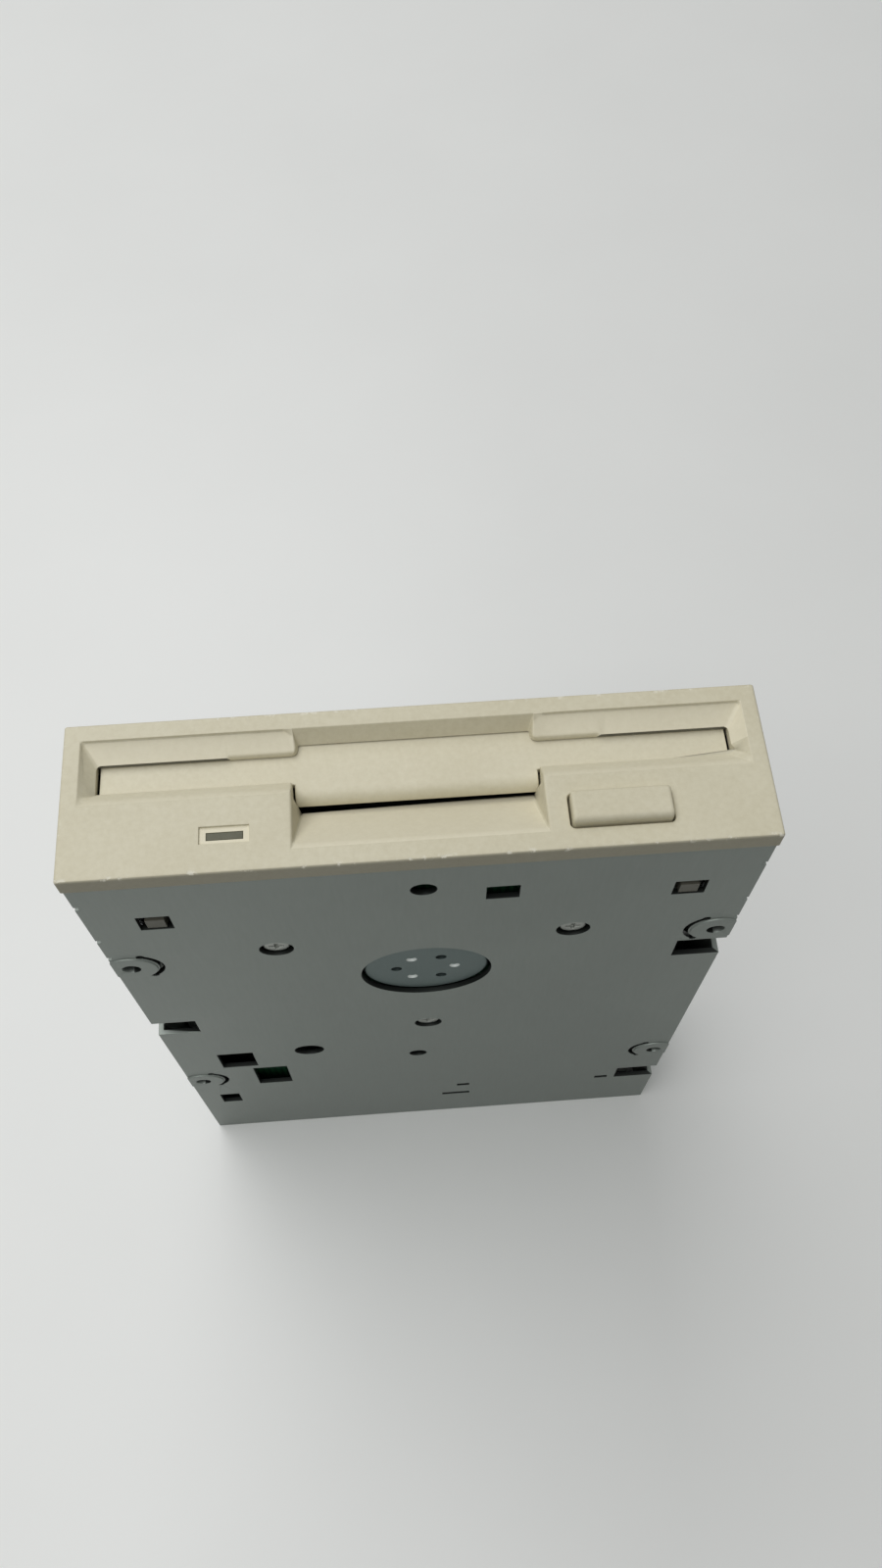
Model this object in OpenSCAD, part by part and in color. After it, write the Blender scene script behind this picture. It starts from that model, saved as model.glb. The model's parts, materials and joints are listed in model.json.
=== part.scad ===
// Three and a half inch floppy disk drive, standing on its rear edge.
// X runs across the drive, Y from the underside to the top cover, Z from the rear edge to the bezel.

/* [Overall] */
// Width of the bezel
bezel_w = 101.6; // [98:0.1:106]
// Height of the bezel
bezel_h = 25; // [24.8:0.1:25.6]
// Length from the rear edge to the face of the bezel
drive_l = 146; // [140:0.5:156]
// How far the bezel stands past the body on each side
bezel_lap = 0.3; // [0.2:0.05:0.6]
// Room beside the disk in its carrier
disk_room = 1.2; // [0.6:0.1:1.6]

/* [Sheet and fixings] */
// Thickness of the chassis sheet
sheet_t = 1; // [0.8:0.05:1.1]
// Thickness of the cover sheet
cover_t = 0.5; // [0.4:0.05:0.6]
// Distance from the mounting holes to the edge of the underside
mount_edge = 2.875; // [2.5:0.025:4]
// Spacing of the mounting holes along the drive
mount_pitch_z = 70; // [68:0.5:71]
// Diameter of the mounting holes
mount_hole_d = 3; // [2.5:0.1:3.2]

/* [Bezel and door] */
// Depth of the bezel flange
bezel_t = 3.5; // [3.4:0.1:3.8]
// Depth of the door face behind the bezel face
door_depth = 3; // [2.8:0.1:3.1]
// Diameter of the door pivot pins
door_pin_d = 1.8; // [1.5:0.1:2]
// How far the eject button stands out of the bezel face
button_proud = 1.6; // [1:0.1:2.5]

/* [Loading] */
// Travel of the eject slide
slide_travel = 5.5; // [5:0.1:5.8]
// How far the carrier drops the disk onto the spindle
load_drop = 2.5; // [2.2:0.1:2.6]
// Diameter of the carrier guide pins
guide_pin_d = 2; // [1.8:0.1:2.2]

/* [Spindle and heads] */
// Diameter of the spindle shaft
shaft_d = 3; // [2.6:0.1:3.4]
// Diameter of the rotor seen in the underside
rotor_d = 21.4; // [21:0.1:21.6]
// Diameter of the head guide rod
rod_d = 3; // [2.6:0.1:3.2]
// Diameter of the lead screw
screw_d = 3; // [2.6:0.1:3.2]
// Radial play of a shaft in its bore
running_fit = 0.05; // [0.03:0.01:0.08]

/* [Hidden] */
$fn = 48;
arc_steps = 16;

// Overshoot of a cut past the face it opens, and the gaps that pieces keep
cut = 0.5;
thread_gap = 0.05;
side_gap = 0.3;
slot_gap = 0.3;

// Bezel, cover, pan, deck walls, eject slide, disk carrier and disk lie side by side from the outside in
bezel_hw = bezel_w / 2;
body_w = bezel_w - 2 * bezel_lap;
body_hw = body_w / 2;
lower_in = body_hw - sheet_t;
skirt_gap = 0.1;
upper_out = body_hw - cover_t - skirt_gap;
upper_in = upper_out - sheet_t;
wall_gap = 0.2;
deck_wall_t = 0.6;
deck_wall_out = upper_in - wall_gap;
deck_wall_in = deck_wall_out - deck_wall_t;
carrier_t = 0.6;
rail_gap = 0.4;
rail_out = deck_wall_in - side_gap;
rail_in = rail_out - carrier_t;
carrier_out = rail_in - rail_gap;
carrier_in = carrier_out - carrier_t;
disk_w = 2 * (carrier_in - disk_room);

// Levels from the underside to the cover
bezel_top = bezel_h / 2;
pad_rise = 0.3;
plate_y = [pad_rise - bezel_top, pad_rise - bezel_top + sheet_t];
floor_y = plate_y[1];
deck_t = 1;
deck_y = [-4, -4 + deck_t];
roof_y = bezel_top - cover_t;
wall_step_y = 3;
wall_top = roof_y - skirt_gap;

// Places along the drive: the head drive from the rear edge, the spindle and the bezel from the face
stepper_rear = 5;
stepper_l = 17;
stepper_z = [stepper_rear, stepper_rear + stepper_l];
follower_arm_z = [stepper_z[1] + 12, stepper_z[1] + 16];
front_reach = 47;
head_reach = 39.5;
spindle_z = drive_l - front_reach;
head_z = spindle_z - head_reach;
flange_z = drive_l - bezel_t;

// Mounting holes, raised pads and the relief slits beside them
mount_pitch_x = body_w - 2 * mount_edge;
mount_x = mount_pitch_x / 2;
mount_front_z = spindle_z + 11.5;
mount_rows = [mount_front_z, mount_front_z - mount_pitch_z];
mount_r = mount_hole_d / 2;
pad_r = 4.2;
slit_w = 0.8;
slit_end_d = 1.3;
slit_r = pad_r + 0.05 + slit_end_d / 2;
side_pad_r = 3.2;
slit_arc = [-52, 63];
side_mount_y = floor_y + 3.7;
side_mount_front_z = spindle_z + 21.5;
side_mount_rows = [side_mount_front_z, side_mount_front_z - mount_pitch_z];
edge_relief = [0.7, 1];
edge_reliefs = [spindle_z + 36.8, spindle_z + 23.5, spindle_z + 16];

// Openings in the underside, across and along, measured along from the spindle
mouth_room = 1.3;
mouth_hw = disk_w / 2 + mouth_room;
hook_x = mouth_hw - 6;
hook_window = [5, 4.8];
hook_window_z = drive_l - 17.4;
plate_windows = [
    [[9.3, 14.3], [30.3, 34.8]],
    [[8.4 - body_hw, 15.4 - body_hw], [-50.1, -40.8]],
    [[14.1 - body_hw, 21 - body_hw], [-64, -52]],
    [[4.4 - body_hw, 8.5 - body_hw], [-77.3, -71]],
    [[6, 8.7], [-77.8, -76.3]],
    [[2.7, 8.85], [-84.7, -83.2]],
    [[body_hw - 13.3, body_hw - 10.5], [-79.6, -78]]
];
plate_holes = [[0, 35.5, 4], [-23.85, -41.7, 5.8], [-2.3, -49.3, 3.5]];
edge_notches = [
    [[-body_hw - 1, 7.9 - body_hw], [-25, -18.3]],
    [[body_hw - 8.3, body_hw + 1], [-0.5, 6.5]],
    [[body_hw - 8.8, body_hw + 1], [-80, -72.8]]
];
notch_top = floor_y + 5;

// Cover clips
clip_y = [6, 8];
clip_l = 6;
clip_rise = 0.35;
clip_rows = [30, spindle_z + 11];
rear_wall_y = 1;

// Motor fixing screws
motor_screw_x = 23.8;
motor_screw_front = 15.4;
motor_screw_rear = -29;
front_access_d = 5.5;
rear_access_d = 5.1;
screw_head_d = 4.5;
screw_shank_d = 2.4;
screw_head_y = [plate_y[0] + 0.5, plate_y[0] + 1.8];
motor_board_y = [screw_head_y[1], screw_head_y[1] + 1];
cross_l = 2.4;
cross_w = 0.6;

// Head carriage and its rod lie along the middle of the deck's opening
track_travel = 14.8;
rod_r = rod_d / 2;
rod_x = -24;
carriage_hw = 8;
carriage_z = [follower_arm_z[0] - 10, head_z + 4.5];
sleeve_x = [rod_x - 3, -carriage_hw];
sleeve_l = 16;
sleeve_z = [follower_arm_z[0], follower_arm_z[0] + sleeve_l];
deck_opening_z = spindle_z - 17;
rod_z = [sleeve_z[0] - 10, deck_opening_z + 5.5];

// Control board, connectors and lead screw lie side by side from the left wall
board_y = [floor_y + 1.5, floor_y + 2.7];
sleeve_floor = board_y[1] + 0.5;
power_w = 10.2;
power_x = [1.2 - lower_in, 1.2 - lower_in + power_w];
header_w = 48;
header_end = max(power_x[1] + 1.6 + header_w, carriage_hw + 3.5);
header_x = [header_end - header_w, header_end];
board_x = [power_x[0] - 0.2, header_x[1] + 1];
board_z = [3, follower_arm_z[0] + 4];
screw_x = header_x[1] + 8.5;
screw_y = deck_y[1];

// Deck
carrier_z = [spindle_z - 51, drive_l - 16];
deck_rear_left = rod_z[0] - 2;
deck_rear_right = carrier_z[0] - 4;
deck_front = drive_l - 18;
deck_opening_x = [rod_x - 5, screw_x + 7];
deck_wall_z = [spindle_z - 47, deck_front - 2];
deck_wall_top = 6.2;
pillar_r = 2.4;
bridge_y = [motor_board_y[1] + 1, motor_board_y[1] + 1.8];
bridge_z = [motor_screw_rear - 3, motor_screw_rear + 3];
weld_ear_l = 5;
weld_ears = [spindle_z - 42, spindle_z + 13];
switch_ear_front = drive_l - 6.5;
switch_ear_left = [-disk_w / 2 - 2, 15 - disk_w / 2];
switch_ear_right = [disk_w / 2 - 7.5, disk_w / 2 + 2];

// Disk carrier
carrier_top = 7.1;
carrier_lip = [1.2, 1.8];
carrier_lip_in = carrier_in - 3;
arm_slot_hw = 9;
arm_slot_front = spindle_z - 12;
guide_pin_y = 4;
guide_pin_rows = [spindle_z - 37, spindle_z + 19];
guide_pin_r = guide_pin_d / 2;
guide_slot_r = guide_pin_r + slot_gap;

// Eject slide
slide_y = [deck_y[1] + 0.4, deck_y[1] + 1];
slide_rail_top = 6;
slide_z = [spindle_z - 47, spindle_z + 25];
strip_z = [spindle_z + 14, spindle_z + 22];
button_x = [disk_w / 2 - 24, disk_w / 2 - 9.1];
push_arm_x = [button_x[0] + 3, button_x[0] + 12];
button_rear_z = drive_l - 13;
push_tab_bottom = -8.6;
spring_x = carrier_in - 2.2;
spring_y = -6.3;
spring_r = [1.1, 1.6];
spring_tab_x = [spring_x - 0.6, spring_x + 0.6];
spring_tab_z = spindle_z - 11;
spring_tab_bottom = -7.5;
spring_z = [spindle_z - 2, spindle_z + 22];

// Bezel openings, as seen on the face
pocket_hw = mouth_hw + 2;
pocket_y = [-0.4, 9.75];
mouth_y = [1.95, 6.6];
mouth_depth = 2;
notch_hw = [disk_w / 2 - 27.3, disk_w / 2 - 28];
notch_inner_y = 8.2;
thumb_hw = [disk_w / 2 - 27, disk_w / 2 - 28];
thumb_low = -9.2;
door_z = drive_l - door_depth;
thumb_edge = [-1.05, door_z - 3.1];
thumb_wall = 1.2;
skin = 0.01;
door_room = 0.3;
door_room_y = [1.5, 11.1];
button_y = [-9.27, -3.8];
button_gap = 0.3;
button_corner = 0.8;
button_wall = 1.2;
button_cap = 3.6;
led_frame_x = [14 - disk_w / 2, 21.05 - disk_w / 2];
led_frame_y = [-7.95, -5.3];
led_frame_depth = 0.4;
led_x = [led_frame_x[0] + 0.95, led_frame_x[1] - 0.85];
led_y = [-7.35, -6.1];
led_gap = 0.05;
led_flange = 1.3;
leg_w = 2.9;
leg_y = [floor_y + 0.2, floor_y + 1.8];
leg_rear = hook_window_z - 3.1;
hook_z = [hook_window_z - 2.1, hook_window_z + 0.7];
hook_bottom = plate_y[0] + 0.2;

// Door
pivot_y = 9.4;
pivot_z = door_z - 1.6;
door_pin_r = door_pin_d / 2;
door_hw = mouth_hw - 0.4;
door_t = 1.2;
door_low = mouth_y[0] + 0.1;
door_barrel_r = door_pin_r + 0.4;
door_pin_end = mouth_hw + 1.1;
pivot_ear_x = [mouth_hw + 0.1, mouth_hw + 1.7];
pivot_ear_y = [7.6, 11.2];
pivot_ear_z = pivot_z - 1.8;
lip_hw = thumb_hw[0] - slot_gap;
lip_r = 2;
lip_centre_y = 1.3;
lip_t = 1.2;
spring_bay_x = 3.3 - mouth_hw;
spring_bay_y = 7.5;
door_spring_x = [0.7 - mouth_hw, 2.9 - mouth_hw];
door_spring_r = [door_pin_r + 0.2, door_pin_r + 0.7];
door_spring_leg_y = [10.4, 10.9];

// Spindle motor
shaft_r = shaft_d / 2;
rotor_r = rotor_d / 2;
rotor_opening_r = rotor_r + 0.4;
rotor_y = [plate_y[0] + 0.8, plate_y[0] + 1.4];
rotor_top = motor_board_y[1] + 3;
rotor_wall = 0.8;
rotor_boss_r = 3.2;
rotor_hole_r = 0.95;
rotor_hole_at = 5.1;
rotor_dent_r = [0.92, 0.3];
rotor_dent_at = 4.85;
rotor_dent_depth = 0.4;
magnet_r = rotor_r + 1.3;
magnet_y = [motor_board_y[1] + 0.2, motor_board_y[1] + 2.8];
stator_in = magnet_r + 0.6;
stator_ring = [20, 23];
stator_foot = [20.6, 22.4];
tooth_y = [motor_board_y[1] + 0.6, motor_board_y[1] + 2];
tooth_w = 3;
tooth_tip = [1, 6];
tooth_count = 9;
coil_end = 19.5;
coil_y = [motor_board_y[1] + 0.1, motor_board_y[1] + 2.5];
coil_w = 6.4;
board_hole_r = magnet_r + 0.6;
motor_board_hw = hook_x - 3.3;
motor_board_z = [spindle_z - 21, drive_l - 10];
board_tongue_hw = 5;
board_tongue_z = spindle_z - 34;
motor_chip_x = [motor_board_hw - 11, motor_board_hw - 3];
motor_chip_z = [spindle_z - 15, spindle_z - 7];
motor_chip_top = motor_board_y[1] + 1.5;
bearing_r = [4.5, 6];
bearing_bottom = rotor_top + 0.8;
hub_r = 12.5;
hub_y = [deck_y[1] + 0.5, 0];
shaft_y = [rotor_y[1], 1.2];
chuck_magnet_r = [4.5, 8.5];
chuck_magnet_y = [-0.8, -0.1];
drive_pin_at = [8.2, 6.2];
drive_pin_r = 1;
drive_pin_y = [-1.5, 1.2];

// Heads, carriage and follower
rod_y = sleeve_floor + 2.2;
clamp_l = 5;
clamp_y = [sleeve_floor, deck_y[0]];
clamp_hw = 3.5;
rear_clamp_left = deck_opening_x[0] - 4;
carriage_y = [sleeve_floor + 1.5, -1];
sleeve_y = [sleeve_floor, sleeve_floor + 4.4];
screw_r = screw_d / 2;
follower_arm_y = [screw_y - 2, screw_y + 1.6];
follower_arm_end = screw_x - 3.5;
follower_r = 0.6;
sensor_x = [board_x[1] - 3.9, board_x[1] - 0.3];
sensor_slot = [sensor_x[0] + 1, sensor_x[1] - 1.2];
flag_x = [sensor_slot[0] + 0.4, sensor_slot[1] - 0.4];
flag_y = [sleeve_floor + 1.4, screw_y - 1];
flag_rear = follower_arm_z[0] - 7;
head_hw = 2;
lower_head_top = 0.7;
upper_head_y = [6.3, 7.2];
post_x = [6.2, carriage_hw];
post_top = 8;
post_l = 4.5;
hinge_y = 6.5;
hinge_z = carriage_z[0] + 2.2;
hinge_r = 0.8;
arm_y = [upper_head_y[1], 8.4];
arm_hw = [5.8, 4];
arm_z = [hinge_z + 1, head_z - 11.5, head_z + 5.5];
arm_barrel_r = 1.6;
arm_spring_x = [4.2, 5.9];
arm_spring_r = [1, 1.6];

// Stepper motor and bracket
stepper_r = 7;
bracket_t = 1;
bracket_y = [floor_y, floor_y + 0.8];
bracket_x = [screw_x - 6, screw_x + 6];
bracket_front_z = spindle_z - 23;
bracket_ear_x = [screw_x - 7, screw_x + 7];
bracket_ear_top = [4, 0];
bracket_nose_x = [screw_x - 4, screw_x + 4];
screw_z = [stepper_z[1] - 2.5, bracket_front_z + bracket_t + 0.3];

// Control board and connectors
header_z = [1.2, 10];
board_posts = [[board_x[0] + 3.5, board_z[1] - 5], [5, board_z[1] - 7], [-20, board_z[1] - 17]];
post_r = 2.2;
board_screw_r = 1;
board_screw_head = [1.9, 1.2];
chip_h = 1.5;
chip_rear = header_z[1] + 3.5;
chips = [
    [[-34, -24], [chip_rear, chip_rear + 9.5]],
    [[-14, -4], [chip_rear + 0.5, chip_rear + 10.5]],
    [[-8, -2], [board_z[1] - 9, board_z[1] - 5]]
];
header_y = [board_y[1], board_y[1] + 8.8];
shroud_wall = 1;
shroud_floor = 1.6;
pin_w = 0.64;
pin_pitch = 2.54;
pin_columns = 17;
pin_rise = 1.2;
key_hw = 2.2;
power_y = [board_y[1], board_y[1] + 6];
power_pitch = 2.5;
power_count = 4;
ribbon_x = [-1.5, 2];
ribbon_t = 0.2;
ribbon_z = [board_z[1] - 3.5, head_z + 0.5];
ribbon_top = carriage_y[0] - 0.4;
sensor_z = [follower_arm_z[0] - 9, follower_arm_z[0] - 3];
sensor_top = screw_y - 0.6;
sensor_base = board_y[1] + 1.3;

// Indicator and switches
lamp_x = [led_x[0] + 1.05, led_x[1] - 1.2];
lamp_top = -5.2;
lamp_z = [drive_l - 12, flange_z - led_flange - 0.4];
switch_hw = 2.6;
switch_l = 3.5;
switch_y = [-8.4, deck_y[0]];
switch_z = drive_l - 11;
switch_xs = [4 - disk_w / 2, 11 - disk_w / 2, disk_w / 2 - 4];
plunger_r = 1.2;
plunger_hole_r = 1.5;
plunger_top = 0.4;
plunger_bottom = -6.6;
collar_r = 1.8;
collar_y = [-6.6, -5.8];
switch_bore_r = 2.1;
switch_bore_y = -8;

// Trigger lever on the carrier
lever_x = carrier_in - 13.2;
lever_z = spindle_z - 47;
lever_reach = lever_x - arm_slot_hw - 6;
lever_swing = 60;
lever_y = [carrier_top + 0.2, carrier_top + 1];
lever_w = 5;
lever_pin_r = 1.5;
lever_pin_y = [carrier_top, carrier_top + 2.6];
lever_pin_head = [2.6, 0.5];
lever_spring_y = [lever_y[1] + 0.3, lever_y[1] + 1];
lever_spring_r = [1.7, 2.4];
finger_r = 1.2;
finger_low = 2.4;
finger_slot_w = 3.6;
finger_spare = 6;

// Block between two corners given as ranges along X, Y and Z
module slab(x, y, z) {
    translate([x[0], y[0], z[0]])
        cube([x[1] - x[0], y[1] - y[0], z[1] - z[0]]);
}

// Round bars along each axis
module bar_x(y, z, r, x) {
    translate([x[0], y, z])
        rotate([0, 90, 0])
            cylinder(r = r, h = x[1] - x[0]);
}

module bar_y(x, z, r, y) {
    translate([x, y[0], z])
        rotate([-90, 0, 0])
            cylinder(r = r, h = y[1] - y[0]);
}

module bar_z(x, y, r, z) {
    translate([x, y, z[0]])
        cylinder(r = r, h = z[1] - z[0]);
}

// Rings along X and Y
module ring_x(y, z, r, x) {
    difference() {
        bar_x(y, z, r[1], x);
        bar_x(y, z, r[0], [x[0] - cut, x[1] + cut]);
    }
}

module ring_y(x, z, r, y) {
    difference() {
        bar_y(x, z, r[1], y);
        bar_y(x, z, r[0], [y[0] - cut, y[1] + cut]);
    }
}

// Flat shape drawn across and along the drive, with its thickness along Y
module flat_y(y) {
    translate([0, y[1], 0])
        rotate([90, 0, 0])
            linear_extrude(y[1] - y[0])
                children();
}

// Flat shape drawn across and up, with its length along Z
module flat_z(z) {
    translate([0, 0, z[0]])
        linear_extrude(z[1] - z[0])
            children();
}

// Outline of points in Y and Z, with its length along X
module prism_x(points, x) {
    translate([x[0], 0, 0])
        rotate([90, 0, 90])
            linear_extrude(x[1] - x[0])
                polygon(points);
}

module both_sides() {
    children();
    mirror([1, 0, 0])
        children();
}

module rect(x, y) {
    translate([x[0], y[0]])
        square([x[1] - x[0], y[1] - y[0]]);
}

module round_rect(x, y, r) {
    rect([x[0] + r, x[1] - r], y);
    rect(x, [y[0] + r, y[1] - r]);
    for (u = [x[0] + r, x[1] - r], v = [y[0] + r, y[1] - r])
        translate([u, v])
            circle(r);
}

// Points of an arc about a centre, in even steps
function arc_points(centre, r, from, to) =
    [for (i = [0 : arc_steps]) let (a = from + (to - from) * i / arc_steps) centre + r * [cos(a), sin(a)]];

// Slot with round ends between two points in Y and Z, cut along X
module slot_x(from, to, r, x) {
    tilt = atan2(to[1] - from[1], to[0] - from[0]);
    prism_x(concat(arc_points(to, r, tilt - 90, tilt + 90), arc_points(from, r, tilt + 90, tilt + 270)), x);
}

// Arc of constant width with round ends, about the origin
module arc_slot(r, w, from, to) {
    first = r * [cos(from), sin(from)];
    last = r * [cos(to), sin(to)];
    polygon(concat(
        arc_points([0, 0], r + w / 2, from, to),
        arc_points(last, w / 2, to, to + 180),
        arc_points([0, 0], r - w / 2, to, from),
        arc_points(first, w / 2, from + 180, from + 360)
    ));
}

// Cone along Y at a distance along X
module cone_y(x, r, y) {
    translate([x, y[0], 0])
        rotate([-90, 0, 0])
            cylinder(r1 = r[0], r2 = r[1], h = y[1] - y[0]);
}

// Pan head screw along Y with its crossed recess facing down
module pan_screw(x, z, head_r, head_y, shank_r, shank_end) {
    difference() {
        bar_y(x, z, head_r, head_y);
        for (turn = [[cross_l, cross_w], [cross_w, cross_l]])
            slab([x - turn[0] / 2, x + turn[0] / 2], [head_y[0] - cut, head_y[0] + cross_w],
                 [z - turn[1] / 2, z + turn[1] / 2]);
    }
    bar_y(x, z, shank_r, [head_y[1], shank_end]);
}

module at_mounts() {
    for (z = mount_rows)
        both_sides()
            translate([-mount_x, z])
                children();
}

module underside_outline() {
    difference() {
        rect([-body_hw, body_hw], [0, flange_z]);
        for (w = concat(plate_windows, edge_notches))
            translate([0, spindle_z])
                rect(w[0], w[1]);
        for (h = plate_holes)
            translate([h[0], spindle_z + h[1]])
                circle(d = h[2]);
        translate([0, spindle_z])
            circle(rotor_opening_r);
        translate([0, spindle_z + motor_screw_rear])
            circle(d = rear_access_d);
        both_sides()
            translate([motor_screw_x, spindle_z + motor_screw_front])
                circle(d = front_access_d);
        both_sides()
            translate([hook_x - hook_window[0] / 2, hook_window_z - hook_window[1] / 2])
                square(hook_window);
        for (z = edge_reliefs)
            both_sides()
                translate([body_hw - edge_relief[0], z - edge_relief[1] / 2])
                    square(edge_relief);
        at_mounts()
            arc_slot(slit_r, slit_w, slit_arc[0], slit_arc[1]);
        at_mounts()
            for (turn = slit_arc)
                translate(slit_r * [cos(turn), sin(turn)])
                    circle(d = slit_end_d);
        at_mounts()
            circle(mount_r);
    }
}

module side_wall() {
    slab([lower_in, body_hw], [plate_y[1], wall_step_y], [0, flange_z]);
    slab([upper_in, body_hw], [wall_step_y - sheet_t, wall_step_y], [0, flange_z]);
    slab([upper_in, upper_out], [wall_step_y, wall_top], [0, flange_z]);
    for (z = side_mount_rows)
        bar_x(side_mount_y, z, side_pad_r, [body_hw, body_hw + pad_rise]);
    for (z = clip_rows)
        slab([upper_out, upper_out + clip_rise], clip_y, [z, z + clip_l]);
}

module chassis_pan() {
    color([0.68, 0.71, 0.69])
        difference() {
            union() {
                flat_y(plate_y)
                    underside_outline();
                flat_y([plate_y[0] - pad_rise, plate_y[0]])
                    difference() {
                        intersection() {
                            at_mounts()
                                circle(pad_r);
                            rect([-body_hw, body_hw], [0, flange_z]);
                        }
                        at_mounts()
                            circle(mount_r);
                    }
                both_sides()
                    side_wall();
                for (p = board_posts)
                    bar_y(p[0], p[1], post_r, [floor_y, board_y[0]]);
            }
            for (n = edge_notches)
                slab(n[0], [plate_y[0] - cut, notch_top], [spindle_z + n[1][0], spindle_z + n[1][1]]);
            for (z = side_mount_rows)
                both_sides()
                    bar_x(side_mount_y, z, mount_r, [lower_in - cut, body_hw + 1]);
            for (p = board_posts)
                bar_y(p[0], p[1], board_screw_r + thread_gap, [floor_y, board_y[0] + cut]);
        }
}

module top_cover() {
    skirt_low = wall_step_y + 0.4;
    color([0.72, 0.74, 0.73])
        difference() {
            union() {
                slab([-body_hw, body_hw], [roof_y, bezel_top], [0, flange_z]);
                slab([-upper_in + skirt_gap, upper_in - skirt_gap], [rear_wall_y, roof_y], [0, cover_t]);
                both_sides()
                    slab([body_hw - cover_t, body_hw], [skirt_low, roof_y], [0, flange_z]);
            }
            for (z = clip_rows)
                both_sides()
                    slab([upper_out, body_hw + cut], [clip_y[0] - side_gap, clip_y[1] + side_gap],
                         [z - side_gap, z + clip_l + side_gap]);
        }
}

// Tapering cut from a rectangle on the face to a rectangle behind it
module taper_cut(face_x, face_y, deep_x, deep_y, deep_z) {
    hull() {
        slab(face_x, face_y, [drive_l, drive_l + cut]);
        slab(deep_x, deep_y, [deep_z, deep_z + skin]);
    }
}

module thumb_box() {
    prism_x([
        [thumb_low - thumb_wall - 0.4, flange_z],
        [thumb_edge[0], thumb_edge[1] - thumb_wall],
        [door_room_y[0], flange_z - 1.5],
        [door_room_y[0], flange_z]
    ], [-thumb_hw[0] - thumb_wall, thumb_hw[0] + thumb_wall]);
}

module bezel_leg() {
    leg_x = [hook_x - leg_w / 2, hook_x + leg_w / 2];
    slab(leg_x, leg_y, [leg_rear, flange_z]);
    slab(leg_x, [hook_bottom, leg_y[0]], hook_z);
    slab(pivot_ear_x, pivot_ear_y, [pivot_ear_z, flange_z]);
}

module front_bezel() {
    behind = [thumb_edge[1] - 2 * thumb_wall, drive_l + cut];
    color([0.79, 0.77, 0.68])
        difference() {
            union() {
                slab([-bezel_hw, bezel_hw], [-bezel_top, bezel_top], [flange_z, drive_l]);
                thumb_box();
                both_sides()
                    bezel_leg();
            }
            taper_cut([-pocket_hw, pocket_hw], pocket_y, [-mouth_hw, mouth_hw], mouth_y, drive_l - mouth_depth);
            taper_cut([-notch_hw[0], notch_hw[0]], pocket_y, [-notch_hw[1], notch_hw[1]],
                      [mouth_y[0], notch_inner_y], door_z);
            hull() {
                slab([-thumb_hw[0], thumb_hw[0]], [thumb_low, pocket_y[0]], [drive_l, drive_l + cut]);
                slab([-thumb_hw[1], thumb_hw[1]], [thumb_edge[0], pocket_y[0]], [thumb_edge[1], drive_l]);
            }
            slab([-mouth_hw, mouth_hw], mouth_y, behind);
            slab([-lip_hw - slot_gap, lip_hw + slot_gap], [thumb_edge[0], mouth_y[1]], behind);
            slab([-mouth_hw, mouth_hw], door_room_y, [flange_z - cut, door_z + door_room]);
            both_sides()
                bar_x(pivot_y, pivot_z, door_pin_r + running_fit, [mouth_hw, pivot_ear_x[1] + cut]);
            flat_z([flange_z - cut, drive_l + cut])
                round_rect(button_x, button_y, button_corner);
            slab(led_frame_x, led_frame_y, [drive_l - led_frame_depth, drive_l + cut]);
            slab(led_x, led_y, [flange_z - cut, drive_l]);
        }
}

module deck_outline() {
    difference() {
        union() {
            rect([-deck_wall_out, deck_opening_x[0]], [deck_rear_left, deck_front]);
            rect([deck_opening_x[1], deck_wall_out], [deck_rear_right, deck_front]);
            rect([deck_opening_x[0], deck_opening_x[1]], [deck_opening_z, deck_front]);
            rect(switch_ear_left, [deck_front, switch_ear_front]);
            rect(switch_ear_right, [deck_front, switch_ear_front]);
            both_sides()
                for (z = weld_ears)
                    rect([deck_wall_out, lower_in], [z, z + weld_ear_l]);
        }
        translate([0, spindle_z])
            circle(bearing_r[0]);
        for (x = switch_xs)
            translate([x, switch_z])
                circle(plunger_hole_r);
        both_sides()
            rect([spring_tab_x[0] - cut, spring_tab_x[1] + cut],
                 [spring_tab_z - cut, spring_tab_z + carrier_t + slide_travel + cut]);
    }
}

module deck_wall() {
    difference() {
        slab([deck_wall_in, deck_wall_out], [deck_y[1], deck_wall_top], deck_wall_z);
        for (z = guide_pin_rows)
            slot_x([guide_pin_y, z], [guide_pin_y - load_drop, z], guide_slot_r,
                   [deck_wall_in - cut, deck_wall_out + cut]);
    }
    slab([spring_tab_x[0], spring_tab_x[1]], [spring_tab_bottom, deck_y[0]], [spring_z[1], spring_z[1] + deck_t]);
}

module mid_deck() {
    bridge_span = [deck_opening_x[0] - deck_t, deck_opening_x[1] + deck_t];
    bridge_run = [spindle_z + bridge_z[0], spindle_z + bridge_z[1]];
    color([0.62, 0.65, 0.63])
        difference() {
            union() {
                flat_y(deck_y)
                    deck_outline();
                both_sides()
                    deck_wall();
                slab(bridge_span, bridge_y, bridge_run);
                for (x = [bridge_span[0], deck_opening_x[1]])
                    slab([x, x + deck_t], [bridge_y[1], deck_y[0]], bridge_run);
                bar_y(0, spindle_z + motor_screw_rear, pillar_r, [motor_board_y[1], bridge_y[0]]);
                both_sides()
                    bar_y(motor_screw_x, spindle_z + motor_screw_front, pillar_r, [motor_board_y[1], deck_y[0]]);
            }
            bar_y(0, spindle_z + motor_screw_rear, screw_shank_d / 2 + thread_gap,
                  [motor_board_y[1] - cut, bridge_y[1] + cut]);
            both_sides()
                bar_y(motor_screw_x, spindle_z + motor_screw_front, screw_shank_d / 2 + thread_gap,
                      [motor_board_y[1] - cut, deck_y[0]]);
        }
}

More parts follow.
